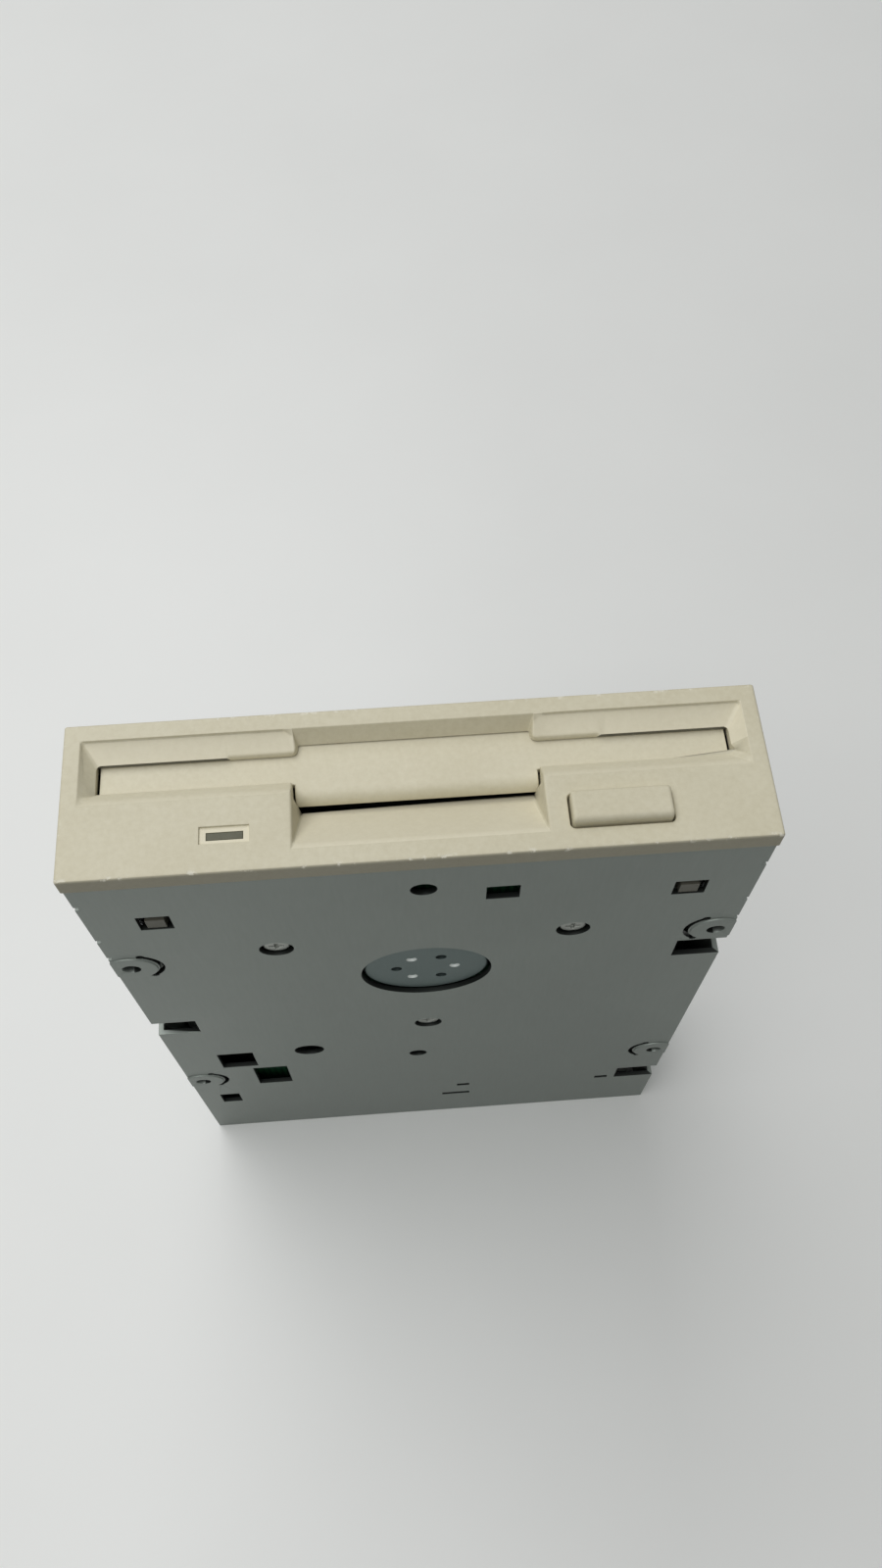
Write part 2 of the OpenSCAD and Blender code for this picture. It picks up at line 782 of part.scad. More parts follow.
module motor_board() {
    color([0.18, 0.33, 0.22])
        flat_y(motor_board_y)
            difference() {
                union() {
                    rect([-motor_board_hw, motor_board_hw], motor_board_z);
                    rect([-board_tongue_hw, board_tongue_hw], [board_tongue_z, motor_board_z[0]]);
                }
                translate([0, spindle_z])
                    circle(board_hole_r);
                translate([0, spindle_z + motor_screw_rear])
                    circle(screw_shank_d / 2 + thread_gap);
                both_sides()
                    translate([motor_screw_x, spindle_z + motor_screw_front])
                        circle(screw_shank_d / 2 + thread_gap);
            }
}

module motor_chip() {
    color([0.12, 0.12, 0.13])
        slab(motor_chip_x, [motor_board_y[1], motor_chip_top], motor_chip_z);
}

module around_spindle(count) {
    for (i = [0 : count - 1])
        translate([0, 0, spindle_z])
            rotate([0, i * 360 / count, 0])
                children();
}

module tooth_span(x, w, y) {
    slab(x, y, [-w / 2, w / 2]);
}

// Ring and teeth of the stator, drawn about the spindle
module stator_outline() {
    difference() {
        circle(stator_ring[1]);
        circle(stator_ring[0]);
    }
    for (i = [0 : tooth_count - 1])
        rotate(-i * 360 / tooth_count) {
            rect([stator_in, stator_ring[0] + tooth_tip[0]], [-tooth_w / 2, tooth_w / 2]);
            rect([stator_in, stator_in + tooth_tip[0]], [-tooth_tip[1] / 2, tooth_tip[1] / 2]);
        }
}

module stator_core() {
    color([0.45, 0.47, 0.48]) {
        flat_y(tooth_y)
            translate([0, spindle_z])
                stator_outline();
        ring_y(0, spindle_z, stator_foot, [motor_board_y[1], tooth_y[0]]);
    }
}

module stator_coils() {
    color([0.72, 0.42, 0.2])
        around_spindle(tooth_count)
            difference() {
                tooth_span([stator_in + tooth_tip[0], coil_end], coil_w, coil_y);
                tooth_span([stator_in, stator_ring[1]], tooth_w, tooth_y);
            }
}

module motor_screws() {
    front_end = deck_y[0] - 1;
    rear_end = bridge_y[1];
    color([0.7, 0.72, 0.72]) {
        pan_screw(0, spindle_z + motor_screw_rear, screw_head_d / 2, screw_head_y, screw_shank_d / 2, rear_end);
        both_sides()
            pan_screw(motor_screw_x, spindle_z + motor_screw_front, screw_head_d / 2, screw_head_y,
                      screw_shank_d / 2, front_end);
    }
}

module spindle_bearing() {
    color([0.66, 0.52, 0.3])
        difference() {
            union() {
                bar_y(0, spindle_z, bearing_r[0], [bearing_bottom, deck_y[1]]);
                bar_y(0, spindle_z, bearing_r[1], [bearing_bottom, deck_y[0]]);
            }
            bar_y(0, spindle_z, shaft_r + running_fit, [bearing_bottom - cut, deck_y[1] + cut]);
        }
}

module stepper_motor() {
    color([0.6, 0.62, 0.62])
        difference() {
            bar_z(screw_x, screw_y, stepper_r, stepper_z);
            bar_z(screw_x, screw_y, screw_r + running_fit, [screw_z[0] - cut, stepper_z[1] + cut]);
        }
}

module stepper_bracket() {
    color([0.64, 0.67, 0.66])
        difference() {
            union() {
                slab(bracket_x, bracket_y, [stepper_z[1], bracket_front_z + bracket_t]);
                slab(bracket_ear_x, [bracket_y[0], bracket_ear_top[0]], [stepper_z[1], stepper_z[1] + bracket_t]);
                slab(bracket_nose_x, [bracket_y[0], bracket_ear_top[1]],
                     [bracket_front_z, bracket_front_z + bracket_t]);
            }
            bar_z(screw_x, screw_y, screw_r + running_fit,
                  [stepper_z[1] - cut, bracket_front_z + bracket_t + cut]);
        }
}

module guide_rod() {
    color([0.8, 0.81, 0.82])
        bar_z(rod_x, rod_y, rod_r, rod_z);
}

module rod_clamps() {
    color([0.15, 0.15, 0.16])
        difference() {
            union() {
                slab([rear_clamp_left, rod_x + clamp_hw], clamp_y, [rod_z[0], rod_z[0] + clamp_l]);
                slab([rod_x - clamp_hw, rod_x + clamp_hw], clamp_y, [rod_z[1] - clamp_l, rod_z[1]]);
            }
            bar_z(rod_x, rod_y, rod_r, [rod_z[0] - cut, rod_z[1] + cut]);
        }
}

module control_board() {
    color([0.16, 0.36, 0.22])
        flat_y(board_y)
            difference() {
                rect(board_x, board_z);
                for (p = board_posts)
                    translate([p[0], p[1]])
                        circle(board_screw_r + thread_gap);
            }
}

module board_chips() {
    color([0.12, 0.12, 0.13])
        for (c = chips)
            slab(c[0], [board_y[1], board_y[1] + chip_h], c[1]);
}

module board_screws() {
    color([0.7, 0.72, 0.72])
        for (p = board_posts) {
            bar_y(p[0], p[1], board_screw_head[0], [board_y[1], board_y[1] + board_screw_head[1]]);
            bar_y(p[0], p[1], board_screw_r, [floor_y, board_y[1]]);
        }
}

// Open box of a connector, with its mouth at the rear
module shroud(x, y) {
    difference() {
        slab(x, y, header_z);
        slab([x[0] + shroud_wall, x[1] - shroud_wall], [y[0] + shroud_wall, y[1] - shroud_wall],
             [header_z[0] - cut, header_z[1] - shroud_floor]);
    }
}

module connector_pin(x, y) {
    slab([x - pin_w / 2, x + pin_w / 2], [y - pin_w / 2, y + pin_w / 2],
         [header_z[0] + pin_rise, header_z[1] - shroud_floor]);
}

module signal_header() {
    middle = (header_x[0] + header_x[1]) / 2;
    color([0.13, 0.13, 0.14])
        difference() {
            shroud(header_x, header_y);
            slab([middle - key_hw, middle + key_hw], [header_y[1] - shroud_wall - cut, header_y[1] + cut],
                 [header_z[0] - cut, header_z[1] - shroud_floor]);
        }
}

module signal_pins() {
    middle_x = (header_x[0] + header_x[1]) / 2;
    middle_y = (header_y[0] + header_y[1]) / 2;
    first_x = middle_x - (pin_columns - 1) * pin_pitch / 2;
    color([0.82, 0.7, 0.38])
        for (i = [0 : pin_columns - 1], side = [-0.5, 0.5])
            connector_pin(first_x + i * pin_pitch, middle_y + side * pin_pitch);
}

module power_connector() {
    color([0.86, 0.84, 0.78])
        shroud(power_x, power_y);
}

module power_pins() {
    middle_x = (power_x[0] + power_x[1]) / 2;
    first_x = middle_x - (power_count - 1) * power_pitch / 2;
    color([0.75, 0.76, 0.76])
        for (i = [0 : power_count - 1])
            connector_pin(first_x + i * power_pitch, (power_y[0] + power_y[1]) / 2);
}

module head_ribbon() {
    low_y = [board_y[1], board_y[1] + ribbon_t];
    color([0.72, 0.5, 0.2]) {
        slab(ribbon_x, low_y, ribbon_z);
        slab(ribbon_x, [low_y[1], ribbon_top], [ribbon_z[1] - ribbon_t, ribbon_z[1]]);
    }
}

module track_sensor() {
    color([0.14, 0.14, 0.15])
        difference() {
            slab(sensor_x, [board_y[1], sensor_top], sensor_z);
            slab(sensor_slot, [sensor_base, sensor_top + cut], [sensor_z[0] - cut, sensor_z[1] + cut]);
        }
}

module led_lens() {
    stem_x = [led_x[0] + led_gap, led_x[1] - led_gap];
    stem_y = [led_y[0] + led_gap, led_y[1] - led_gap];
    color([0.45, 0.46, 0.42]) {
        slab(stem_x, stem_y, [flange_z, drive_l - led_frame_depth]);
        slab(led_frame_x, led_frame_y, [flange_z - led_flange, flange_z]);
    }
}

module indicator_led() {
    color([0.5, 0.75, 0.45])
        slab(lamp_x, [motor_board_y[1], lamp_top], lamp_z);
}

module switch_bodies() {
    color([0.2, 0.2, 0.21])
        for (x = switch_xs)
            difference() {
                slab([x - switch_hw, x + switch_hw], switch_y, [switch_z - switch_l, switch_z + switch_l]);
                bar_y(x, switch_z, switch_bore_r, [switch_bore_y, switch_y[1] + cut]);
            }
}

module slide_springs() {
    color([0.7, 0.72, 0.73])
        both_sides()
            difference() {
                bar_z(spring_x, spring_y, spring_r[1], spring_z);
                bar_z(spring_x, spring_y, spring_r[0], [spring_z[0] - cut, spring_z[1] + cut]);
            }
}

module door_spring() {
    color([0.7, 0.72, 0.73]) {
        ring_x(pivot_y, pivot_z, door_spring_r, door_spring_x);
        slab([door_spring_x[0], door_spring_x[0] + cut], door_spring_leg_y, [pivot_z, door_z + door_room]);
    }
}

module slide_rail() {
    low = [deck_y[1] + 0.4, slide_rail_top];
    difference() {
        slab([rail_in, rail_out], low, slide_z);
        for (z = guide_pin_rows)
            slot_x([guide_pin_y, z], [guide_pin_y - load_drop, z - slide_travel], guide_slot_r,
                   [rail_in - cut, rail_out + cut]);
    }
    slab([spring_tab_x[0], rail_out], slide_y, [spring_tab_z - 2, spring_tab_z + 3]);
    slab(spring_tab_x, [spring_tab_bottom, slide_y[0]], [spring_tab_z, spring_tab_z + carrier_t]);
}

module slide_plate() {
    color([0.66, 0.68, 0.67]) {
        both_sides()
            slide_rail();
        slab([-rail_out, rail_out], slide_y, strip_z);
        slab(push_arm_x, slide_y, [strip_z[1], button_rear_z]);
        slab(push_arm_x, [push_tab_bottom, slide_y[0]], [button_rear_z - carrier_t, button_rear_z]);
    }
}

module eject_button() {
    face_x = [button_x[0] + button_gap, button_x[1] - button_gap];
    face_y = [button_y[0] + button_gap, button_y[1] - button_gap];
    front = drive_l + button_proud;
    color([0.79, 0.77, 0.68])
        difference() {
            flat_z([button_rear_z, front])
                round_rect(face_x, face_y, button_corner - button_gap);
            slab([face_x[0] + button_wall, face_x[1] - button_wall], [face_y[0] + button_wall, face_y[1] - button_wall],
                 [button_rear_z - cut, front - button_cap]);
        }
}

module carrier_side() {
    slab([carrier_in, carrier_out], [carrier_lip[0], carrier_top], carrier_z);
    slab([carrier_lip_in, carrier_out], carrier_lip, carrier_z);
    for (z = guide_pin_rows)
        bar_x(guide_pin_y, z, guide_pin_r, [carrier_out, deck_wall_out - 0.1]);
}

module disk_carrier() {
    half = lever_swing / 2 + finger_spare;
    color([0.67, 0.7, 0.69]) {
        flat_y([carrier_top - carrier_t, carrier_top])
            difference() {
                rect([-carrier_out, carrier_out], carrier_z);
                rect([-arm_slot_hw, arm_slot_hw], [carrier_z[0] - cut, arm_slot_front]);
                translate([lever_x, lever_z])
                    arc_slot(lever_reach, finger_slot_w, 180 - half, 180 + half);
            }
        both_sides()
            carrier_side();
    }
}

module lever_pin() {
    color([0.75, 0.76, 0.77]) {
        bar_y(lever_x, lever_z, lever_pin_r, lever_pin_y);
        bar_y(lever_x, lever_z, lever_pin_head[0], [lever_pin_y[1] - lever_pin_head[1], lever_pin_y[1]]);
    }
}

module lever_spring() {
    color([0.7, 0.72, 0.73])
        ring_y(lever_x, lever_z, lever_spring_r, lever_spring_y);
}

module trigger_lever() {
    rest = 180 - lever_swing / 2;
    finger_x = lever_x + lever_reach * cos(rest);
    finger_z = lever_z + lever_reach * sin(rest);
    color([0.16, 0.16, 0.17])
        difference() {
            union() {
                flat_y(lever_y)
                    union() {
                        translate([lever_x, lever_z])
                            circle(lever_w / 2);
                        translate([lever_x, lever_z])
                            rotate(rest)
                                translate([0, -lever_w / 2])
                                    square([lever_reach, lever_w]);
                        translate([finger_x, finger_z])
                            circle(lever_w / 2);
                    }
                bar_y(finger_x, finger_z, finger_r, [finger_low, lever_y[0]]);
            }
            bar_y(lever_x, lever_z, lever_pin_r + running_fit, [lever_y[0] - cut, lever_y[1] + cut]);
        }
}

// Curled lower lip of the door: a quarter ring between its flat front and its lower edge
module door_lip() {
    centre_z = door_z - lip_r;
    span = [-lip_hw, lip_hw];
    intersection() {
        ring_x(lip_centre_y, centre_z, [lip_r - lip_t, lip_r], span);
        slab(span, [lip_centre_y - lip_r, lip_centre_y], [centre_z, door_z]);
    }
    slab(span, [lip_centre_y, door_low], [door_z - lip_t, door_z]);
}

module slot_door() {
    color([0.77, 0.75, 0.66]) {
        difference() {
            union() {
                slab([-door_hw, door_hw], [door_low, pivot_y], [door_z - door_t, door_z]);
                bar_x(pivot_y, pivot_z, door_barrel_r, [-door_hw, door_hw]);
            }
            slab([-door_hw - cut, spring_bay_x], [spring_bay_y, pivot_y + 2 * door_barrel_r],
                 [pivot_z - 2 * door_barrel_r, door_z + cut]);
        }
        bar_x(pivot_y, pivot_z, door_pin_r, [-door_pin_end, spring_bay_x]);
        bar_x(pivot_y, pivot_z, door_pin_r, [door_hw, door_pin_end]);
        door_lip();
    }
}

module spindle_rotor() {
    color([0.7, 0.72, 0.71])
        difference() {
            union() {
                bar_y(0, spindle_z, rotor_r, rotor_y);
                ring_y(0, spindle_z, [rotor_r - rotor_wall, rotor_r], [rotor_y[1], rotor_top]);
                bar_y(0, spindle_z, rotor_boss_r, [rotor_y[1], rotor_top]);
            }
            around_spindle(3)
                cone_y(rotor_dent_at, rotor_dent_r, [rotor_y[0] - skin, rotor_y[0] + rotor_dent_depth]);
            bar_y(0, spindle_z, shaft_r, [rotor_y[1], rotor_top + cut]);
            around_spindle(3)
                rotate([0, 60, 0])
                    bar_y(rotor_hole_at, 0, rotor_hole_r, [rotor_y[0] - cut, rotor_y[1] + cut]);
        }
}

module rotor_magnet() {
    color([0.25, 0.25, 0.27])
        ring_y(0, spindle_z, [rotor_r, magnet_r], magnet_y);
}

module spindle_shaft() {
    color([0.8, 0.81, 0.82])
        bar_y(0, spindle_z, shaft_r, shaft_y);
}

module chuck_hub() {
    color([0.74, 0.75, 0.75])
        difference() {
            bar_y(0, spindle_z, hub_r, hub_y);
            bar_y(0, spindle_z, shaft_r, [hub_y[0] - cut, hub_y[1] + cut]);
            ring_y(0, spindle_z, chuck_magnet_r, [chuck_magnet_y[0], hub_y[1] + cut]);
            bar_y(drive_pin_at[0], spindle_z + drive_pin_at[1], drive_pin_r, [drive_pin_y[0], hub_y[1] + cut]);
        }
}

module chuck_magnet() {
    color([0.2, 0.2, 0.21])
        ring_y(0, spindle_z, chuck_magnet_r, chuck_magnet_y);
}

module drive_pin() {
    color([0.8, 0.81, 0.82])
        bar_y(drive_pin_at[0], spindle_z + drive_pin_at[1], drive_pin_r, drive_pin_y);
}

module lead_screw() {
    color([0.78, 0.79, 0.8])
        bar_z(screw_x, screw_y, screw_r, screw_z);
}

module head_carriage() {
    color([0.17, 0.17, 0.18])
        difference() {
            union() {
                slab([-carriage_hw, carriage_hw], carriage_y, carriage_z);
                slab(sleeve_x, sleeve_y, sleeve_z);
                slab([carriage_hw, follower_arm_end], follower_arm_y, follower_arm_z);
                slab(flag_x, flag_y, [flag_rear, follower_arm_z[0]]);
                both_sides()
                    slab(post_x, [carriage_y[1], post_top], [carriage_z[0], carriage_z[0] + post_l]);
            }
            bar_z(rod_x, rod_y, rod_r + running_fit, [sleeve_z[0] - cut, sleeve_z[1] + cut]);
            bar_x(hinge_y, hinge_z, hinge_r, [-carriage_hw - cut, carriage_hw + cut]);
        }
}

module lower_head() {
    color([0.55, 0.56, 0.58])
        slab([-head_hw, head_hw], [carriage_y[1], lower_head_top], [head_z - head_hw, head_z + head_hw]);
}

module screw_follower() {
    middle_z = (follower_arm_z[0] + follower_arm_z[1]) / 2;
    color([0.8, 0.81, 0.82])
        bar_x(screw_y, middle_z, follower_r, [follower_arm_end, screw_x - screw_r - side_gap]);
}

module arm_pin() {
    color([0.8, 0.81, 0.82])
        bar_x(hinge_y, hinge_z, hinge_r, [-carriage_hw, carriage_hw]);
}

module arm_spring() {
    color([0.7, 0.72, 0.73])
        ring_x(hinge_y, hinge_z, arm_spring_r, arm_spring_x);
}

module head_arm() {
    barrel_x = [-arm_hw[0], arm_hw[1]];
    color([0.68, 0.7, 0.7])
        difference() {
            union() {
                bar_x(hinge_y, hinge_z, arm_barrel_r, barrel_x);
                slab(barrel_x, arm_y, [hinge_z - arm_barrel_r / 2, arm_z[0]]);
                slab([-arm_hw[0], arm_hw[0]], arm_y, [arm_z[0] + 1, arm_z[1]]);
                slab(barrel_x, arm_y, [arm_z[0], arm_z[0] + 1]);
                slab([-arm_hw[1], arm_hw[1]], arm_y, [arm_z[1], arm_z[2]]);
            }
            bar_x(hinge_y, hinge_z, hinge_r + running_fit, [-arm_hw[0] - cut, arm_hw[0] + cut]);
        }
}

module upper_head() {
    color([0.55, 0.56, 0.58])
        slab([-head_hw, head_hw], upper_head_y, [head_z - head_hw, head_z + head_hw]);
}

module plunger(x) {
    color([0.85, 0.85, 0.82]) {
        bar_y(x, switch_z, plunger_r, [plunger_bottom, plunger_top]);
        bar_y(x, switch_z, collar_r, collar_y);
    }
}

module protect_plunger() {
    plunger(switch_xs[0]);
}

module disk_plunger() {
    plunger(switch_xs[1]);
}

module density_plunger() {
    plunger(switch_xs[2]);
}

chassis_pan();
top_cover();
front_bezel();
mid_deck();
motor_board();
motor_chip();
stator_core();
stator_coils();
motor_screws();
spindle_bearing();
stepper_motor();
stepper_bracket();
guide_rod();
rod_clamps();
control_board();
board_chips();
board_screws();
signal_header();
signal_pins();
power_connector();
power_pins();
head_ribbon();
track_sensor();
led_lens();
indicator_led();
switch_bodies();
slide_springs();
door_spring();
slide_plate();
eject_button();
disk_carrier();
lever_pin();
lever_spring();
trigger_lever();
slot_door();
spindle_rotor();
rotor_magnet();
spindle_shaft();
chuck_hub();
chuck_magnet();
drive_pin();
lead_screw();
head_carriage();
lower_head();
screw_follower();
arm_pin();
arm_spring();
head_arm();
upper_head();
protect_plunger();
density_plunger();
disk_plunger();
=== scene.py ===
import json
import math
import bmesh
import bpy
from mathutils import Matrix, Vector


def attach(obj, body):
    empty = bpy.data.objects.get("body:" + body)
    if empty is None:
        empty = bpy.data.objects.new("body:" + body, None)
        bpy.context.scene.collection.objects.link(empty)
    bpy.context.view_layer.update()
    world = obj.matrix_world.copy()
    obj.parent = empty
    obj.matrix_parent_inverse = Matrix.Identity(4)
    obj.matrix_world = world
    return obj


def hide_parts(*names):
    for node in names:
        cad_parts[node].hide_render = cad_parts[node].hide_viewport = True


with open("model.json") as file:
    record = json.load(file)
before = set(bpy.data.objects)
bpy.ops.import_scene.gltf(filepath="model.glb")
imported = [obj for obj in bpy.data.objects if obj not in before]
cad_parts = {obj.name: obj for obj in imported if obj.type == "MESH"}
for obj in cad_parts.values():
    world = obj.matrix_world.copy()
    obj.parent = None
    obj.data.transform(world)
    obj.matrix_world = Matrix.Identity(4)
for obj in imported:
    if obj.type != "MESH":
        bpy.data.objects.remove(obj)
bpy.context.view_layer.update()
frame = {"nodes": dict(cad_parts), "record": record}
nodes = frame["nodes"]
scene = bpy.context.scene
scene.view_settings.view_transform = "Standard"
mm = 0.001
bodyOf = {n: body for body, names in frame["record"]["behaviour"]["bodies"].items() for n in names}
print("frame loaded,", len(nodes), "solids")


def boxOf(name):  # lowest and highest corner of a solid, in mm
    places = [v.co / mm for v in nodes[name].data.vertices]
    return [[round(pick(p[i] for p in places), 3) for i in range(3)] for pick in (min, max)]


def linear(code):  # sRGB hex to the linear colour that a socket takes
    parts = [int(code[i:i + 2], 16) / 255 for i in (1, 3, 5)]
    return [c / 12.92 if c <= 0.04045 else ((c + 0.055) / 1.055) ** 2.4 for c in parts] + [1]


def addNode(tree, kind, links=None, sockets=None, **settings):  # a node with its settings and links
    node = tree.nodes.new("ShaderNode" + kind)
    for name, value in settings.items():
        setattr(node, name, value)
    for name, value in (sockets or {}).items():
        node.inputs[name].default_value = value
    for name, source in (links or {}).items():
        tree.links.new(source, node.inputs[name])
    return node


def newFinish(name, **sockets):  # a material with its shader and Object coordinates
    finish = bpy.data.materials.new(name)
    finish.use_nodes = True
    tree = finish.node_tree
    shader = tree.nodes["Principled BSDF"]
    for socket, value in sockets.items():
        shader.inputs[socket.replace("_", " ")].default_value = value
    place = addNode(tree, "TexCoord").outputs["Object"]
    return finish, tree, shader, place


def wire(tree, shader, **sources):  # links outputs to the shader's sockets
    for socket, source in sources.items():
        tree.links.new(source, shader.inputs[socket.replace("_", " ")])


def perMm(size):  # texture scale of a pattern whose grains are this many millimetres apart
    return 1 / (size * mm)


def seenStraight(tree):  # 1 where the eye, a reflection or a lens looks, 0 where light only bounces
    ray = addNode(tree, "LightPath")
    seen = addNode(tree, "Math", {0: ray.outputs["Is Camera Ray"], 1: ray.outputs["Is Glossy Ray"]},
                   operation="MAXIMUM")
    seen = addNode(tree, "Math", {0: seen.outputs[0], 1: ray.outputs["Is Transmission Ray"]},
                   operation="MAXIMUM")
    return seen.outputs[0]


# Moulded ABS: warm beige, yellowed in soft clouds, with a spark-eroded grain that breaks up the gloss.
# Painted light makes the recesses and slopes paler; painted shade greys the snap hooks, darkens the
# underside and blackens the gap under the lids.
# Along the outer front edge the skin is chipped, and shows pale specks.
# The real grain is finer than 0.1 mm, and is drawn coarser so that it shows. Sizes in mm
absSkin = {"cloud": 22, "speck": 0.9, "grain": 0.22, "grainDepth": 0.05,
           "nick": 1.6, "nickDepth": 0.1, "chipFrom": 0.75, "chipTo": 0.25}


def mouldedAbs(name, pale, dark, new, paintedShadeTint, chip, corner):
    finish, tree, shader, place = newFinish(name, IOR=1.54)
    cloud = addNode(tree, "TexNoise", {"Vector": place},
                    {"Scale": perMm(absSkin["cloud"]), "Detail": 4, "Roughness": 0.55})
    speck = addNode(tree, "TexNoise", {"Vector": place},
                    {"Scale": perMm(absSkin["speck"]), "Detail": 3, "Roughness": 0.7})
    blend = addNode(tree, "Math", {0: cloud.outputs["Fac"], 1: speck.outputs["Fac"]}, operation="ADD")
    ramp = addNode(tree, "MapRange", {"Value": blend.outputs[0]}, {"From Min": 0.75, "From Max": 1.25})
    tint = addNode(tree, "Mix", {0: ramp.outputs[0]}, {6: linear(dark), 7: linear(pale)}, data_type="RGBA")
    # a face attribute above 0 mixes in the pale colour as painted light, below 0 the dark colour as painted
    # shade
    paintedTone = addNode(tree, "Attribute", attribute_name="paintedLightAndShade").outputs["Fac"]
    tint = addNode(tree, "Mix", {0: paintedTone, 6: tint.outputs[2]}, {7: linear(new)}, data_type="RGBA")
    paintedShade = addNode(tree, "Math", {0: paintedTone}, {1: -1}, operation="MULTIPLY").outputs[0]
    tint = addNode(tree, "Mix", {0: paintedShade, 6: tint.outputs[2]}, {7: linear(paintedShadeTint)}, data_type="RGBA")
    inward = addNode(tree, "VectorMath", {0: place}, operation="ABSOLUTE")
    inward = addNode(tree, "VectorMath", {1: inward.outputs[0]}, {0: [c * mm for c in corner]},
                     operation="SUBTRACT")
    apart = addNode(tree, "SeparateXYZ", {0: inward.outputs[0]})
    side = addNode(tree, "Math", {0: apart.outputs["X"], 1: apart.outputs["Y"]}, operation="MINIMUM")
    away = addNode(tree, "Math", {0: side.outputs[0], 1: apart.outputs["Z"]}, operation="MAXIMUM")
    edge = addNode(tree, "MapRange", {"Value": away.outputs[0]},
                   {"From Min": absSkin["chipFrom"] * mm, "From Max": absSkin["chipTo"] * mm})
    nick = addNode(tree, "TexNoise", {"Vector": place},
                   {"Scale": perMm(absSkin["nick"]), "Detail": 3, "Roughness": 0.65})
    nick = addNode(tree, "MapRange", {"Value": nick.outputs["Fac"]}, {"From Min": 0.58, "From Max": 0.66})
    chipped = addNode(tree, "Math", {0: edge.outputs[0], 1: nick.outputs[0]},
                      operation="MULTIPLY").outputs[0]
    tint = addNode(tree, "Mix", {0: chipped, 6: tint.outputs[2]}, {7: linear(chip)}, data_type="RGBA")
    grain = addNode(tree, "TexNoise", {"Vector": place},
                    {"Scale": perMm(absSkin["grain"]), "Detail": 2, "Roughness": 0.6}).outputs["Fac"]
    gloss = addNode(tree, "MapRange", {"Value": grain}, {"To Min": 0.46, "To Max": 0.66})
    bump = addNode(tree, "Bump", {"Height": grain},
                   {"Strength": 0.14, "Distance": absSkin["grainDepth"] * mm})
    dent = addNode(tree, "Bump", {"Height": chipped, "Normal": bump.outputs[0]},
                   {"Strength": 0.5, "Distance": absSkin["nickDepth"] * mm}, invert=True)
    wire(tree, shader, Base_Color=tint.outputs[2], Roughness=gloss.outputs[0], Normal=dent.outputs[0])
    return finish


# Zinc-plated sheet: a passivated, slightly greenish matte grey with cloudy reflections and a faint rolled
# grain. The pan's hole walls are darkened as painted shade, and the rotor's dent walls brightened as a
# painted highlight.
# The plating's real frost is finer than 0.1 mm, and is drawn coarser so that it shows. Sizes in mm
zincSkin = {"rolled": 0.5, "stretch": 10, "cloud": 18, "frost": 0.35, "frostDepth": 0.03}


def zincSheet(name, pale, dark, rough, paintedTint):
    finish, tree, shader, place = newFinish(name, Metallic=0.85)
    turned = addNode(tree, "Mapping", {"Vector": place}, {"Scale": (1, 1, 1 / zincSkin["stretch"])})
    rolled = addNode(tree, "TexNoise", {"Vector": turned.outputs[0]},
                     {"Scale": perMm(zincSkin["rolled"]), "Detail": 3, "Roughness": 0.6})
    cloud = addNode(tree, "TexNoise", {"Vector": place},
                    {"Scale": perMm(zincSkin["cloud"]), "Detail": 5, "Roughness": 0.6}).outputs["Fac"]
    frost = addNode(tree, "TexNoise", {"Vector": place},
                    {"Scale": perMm(zincSkin["frost"]), "Detail": 2, "Roughness": 0.7})
    faint = addNode(tree, "Math", {0: rolled.outputs["Fac"]}, {1: 0.35}, operation="MULTIPLY")
    blend = addNode(tree, "Math", {0: cloud, 1: faint.outputs[0]}, operation="ADD")
    ramp = addNode(tree, "MapRange", {"Value": blend.outputs[0]}, {"From Min": 0.42, "From Max": 0.92})
    tint = addNode(tree, "Mix", {0: ramp.outputs[0]}, {6: linear(dark), 7: linear(pale)}, data_type="RGBA")
    # painted shade on the pan's hole walls and a painted highlight on the rotor's dent walls
    paintedShadeAndHighlight = addNode(tree, "Attribute", attribute_name="paintedShadeAndHighlight").outputs["Fac"]
    tint = addNode(tree, "Mix", {0: paintedShadeAndHighlight, 6: tint.outputs[2]}, {7: linear(paintedTint)}, data_type="RGBA")
    gloss = addNode(tree, "MapRange", {"Value": cloud},
                    {"From Min": 0.3, "From Max": 0.7, "To Min": rough - 0.04, "To Max": rough + 0.05})
    bump = addNode(tree, "Bump", {"Height": frost.outputs["Fac"]},
                   {"Strength": 0.05, "Distance": zincSkin["frostDepth"] * mm})
    wire(tree, shader, Base_Color=tint.outputs[2], Roughness=gloss.outputs[0], Normal=bump.outputs[0])
    return finish


# Turned or drawn metal: fine tool marks that break up the shine, and a little tarnish.
# The real marks lie under 0.1 mm apart, and are drawn coarser so that they show. Sizes in mm
toolMarks = {"apart": 0.3, "depth": 0.02}


def turnedMetal(name, pale, dark, rough):
    finish, tree, shader, place = newFinish(name, Metallic=1)
    mark = addNode(tree, "TexNoise", {"Vector": place},
                   {"Scale": perMm(toolMarks["apart"]), "Detail": 4, "Roughness": 0.65}).outputs["Fac"]
    tint = addNode(tree, "Mix", {0: mark}, {6: linear(dark), 7: linear(pale)}, data_type="RGBA")
    gloss = addNode(tree, "MapRange", {"Value": mark}, {"To Min": rough - 0.08, "To Max": rough + 0.1})
    bump = addNode(tree, "Bump", {"Height": mark}, {"Strength": 0.08, "Distance": toolMarks["depth"] * mm})
    wire(tree, shader, Base_Color=tint.outputs[2], Roughness=gloss.outputs[0], Normal=bump.outputs[0])
    return finish


# Moulded or cast resin: even colour with faint flow marks and a soft, slightly uneven gloss.
# The real grain is finer than 0.1 mm, and is drawn coarser so that it shows. Sizes in mm
resinSkin = {"flow": 6, "grain": 0.4, "depth": 0.03}


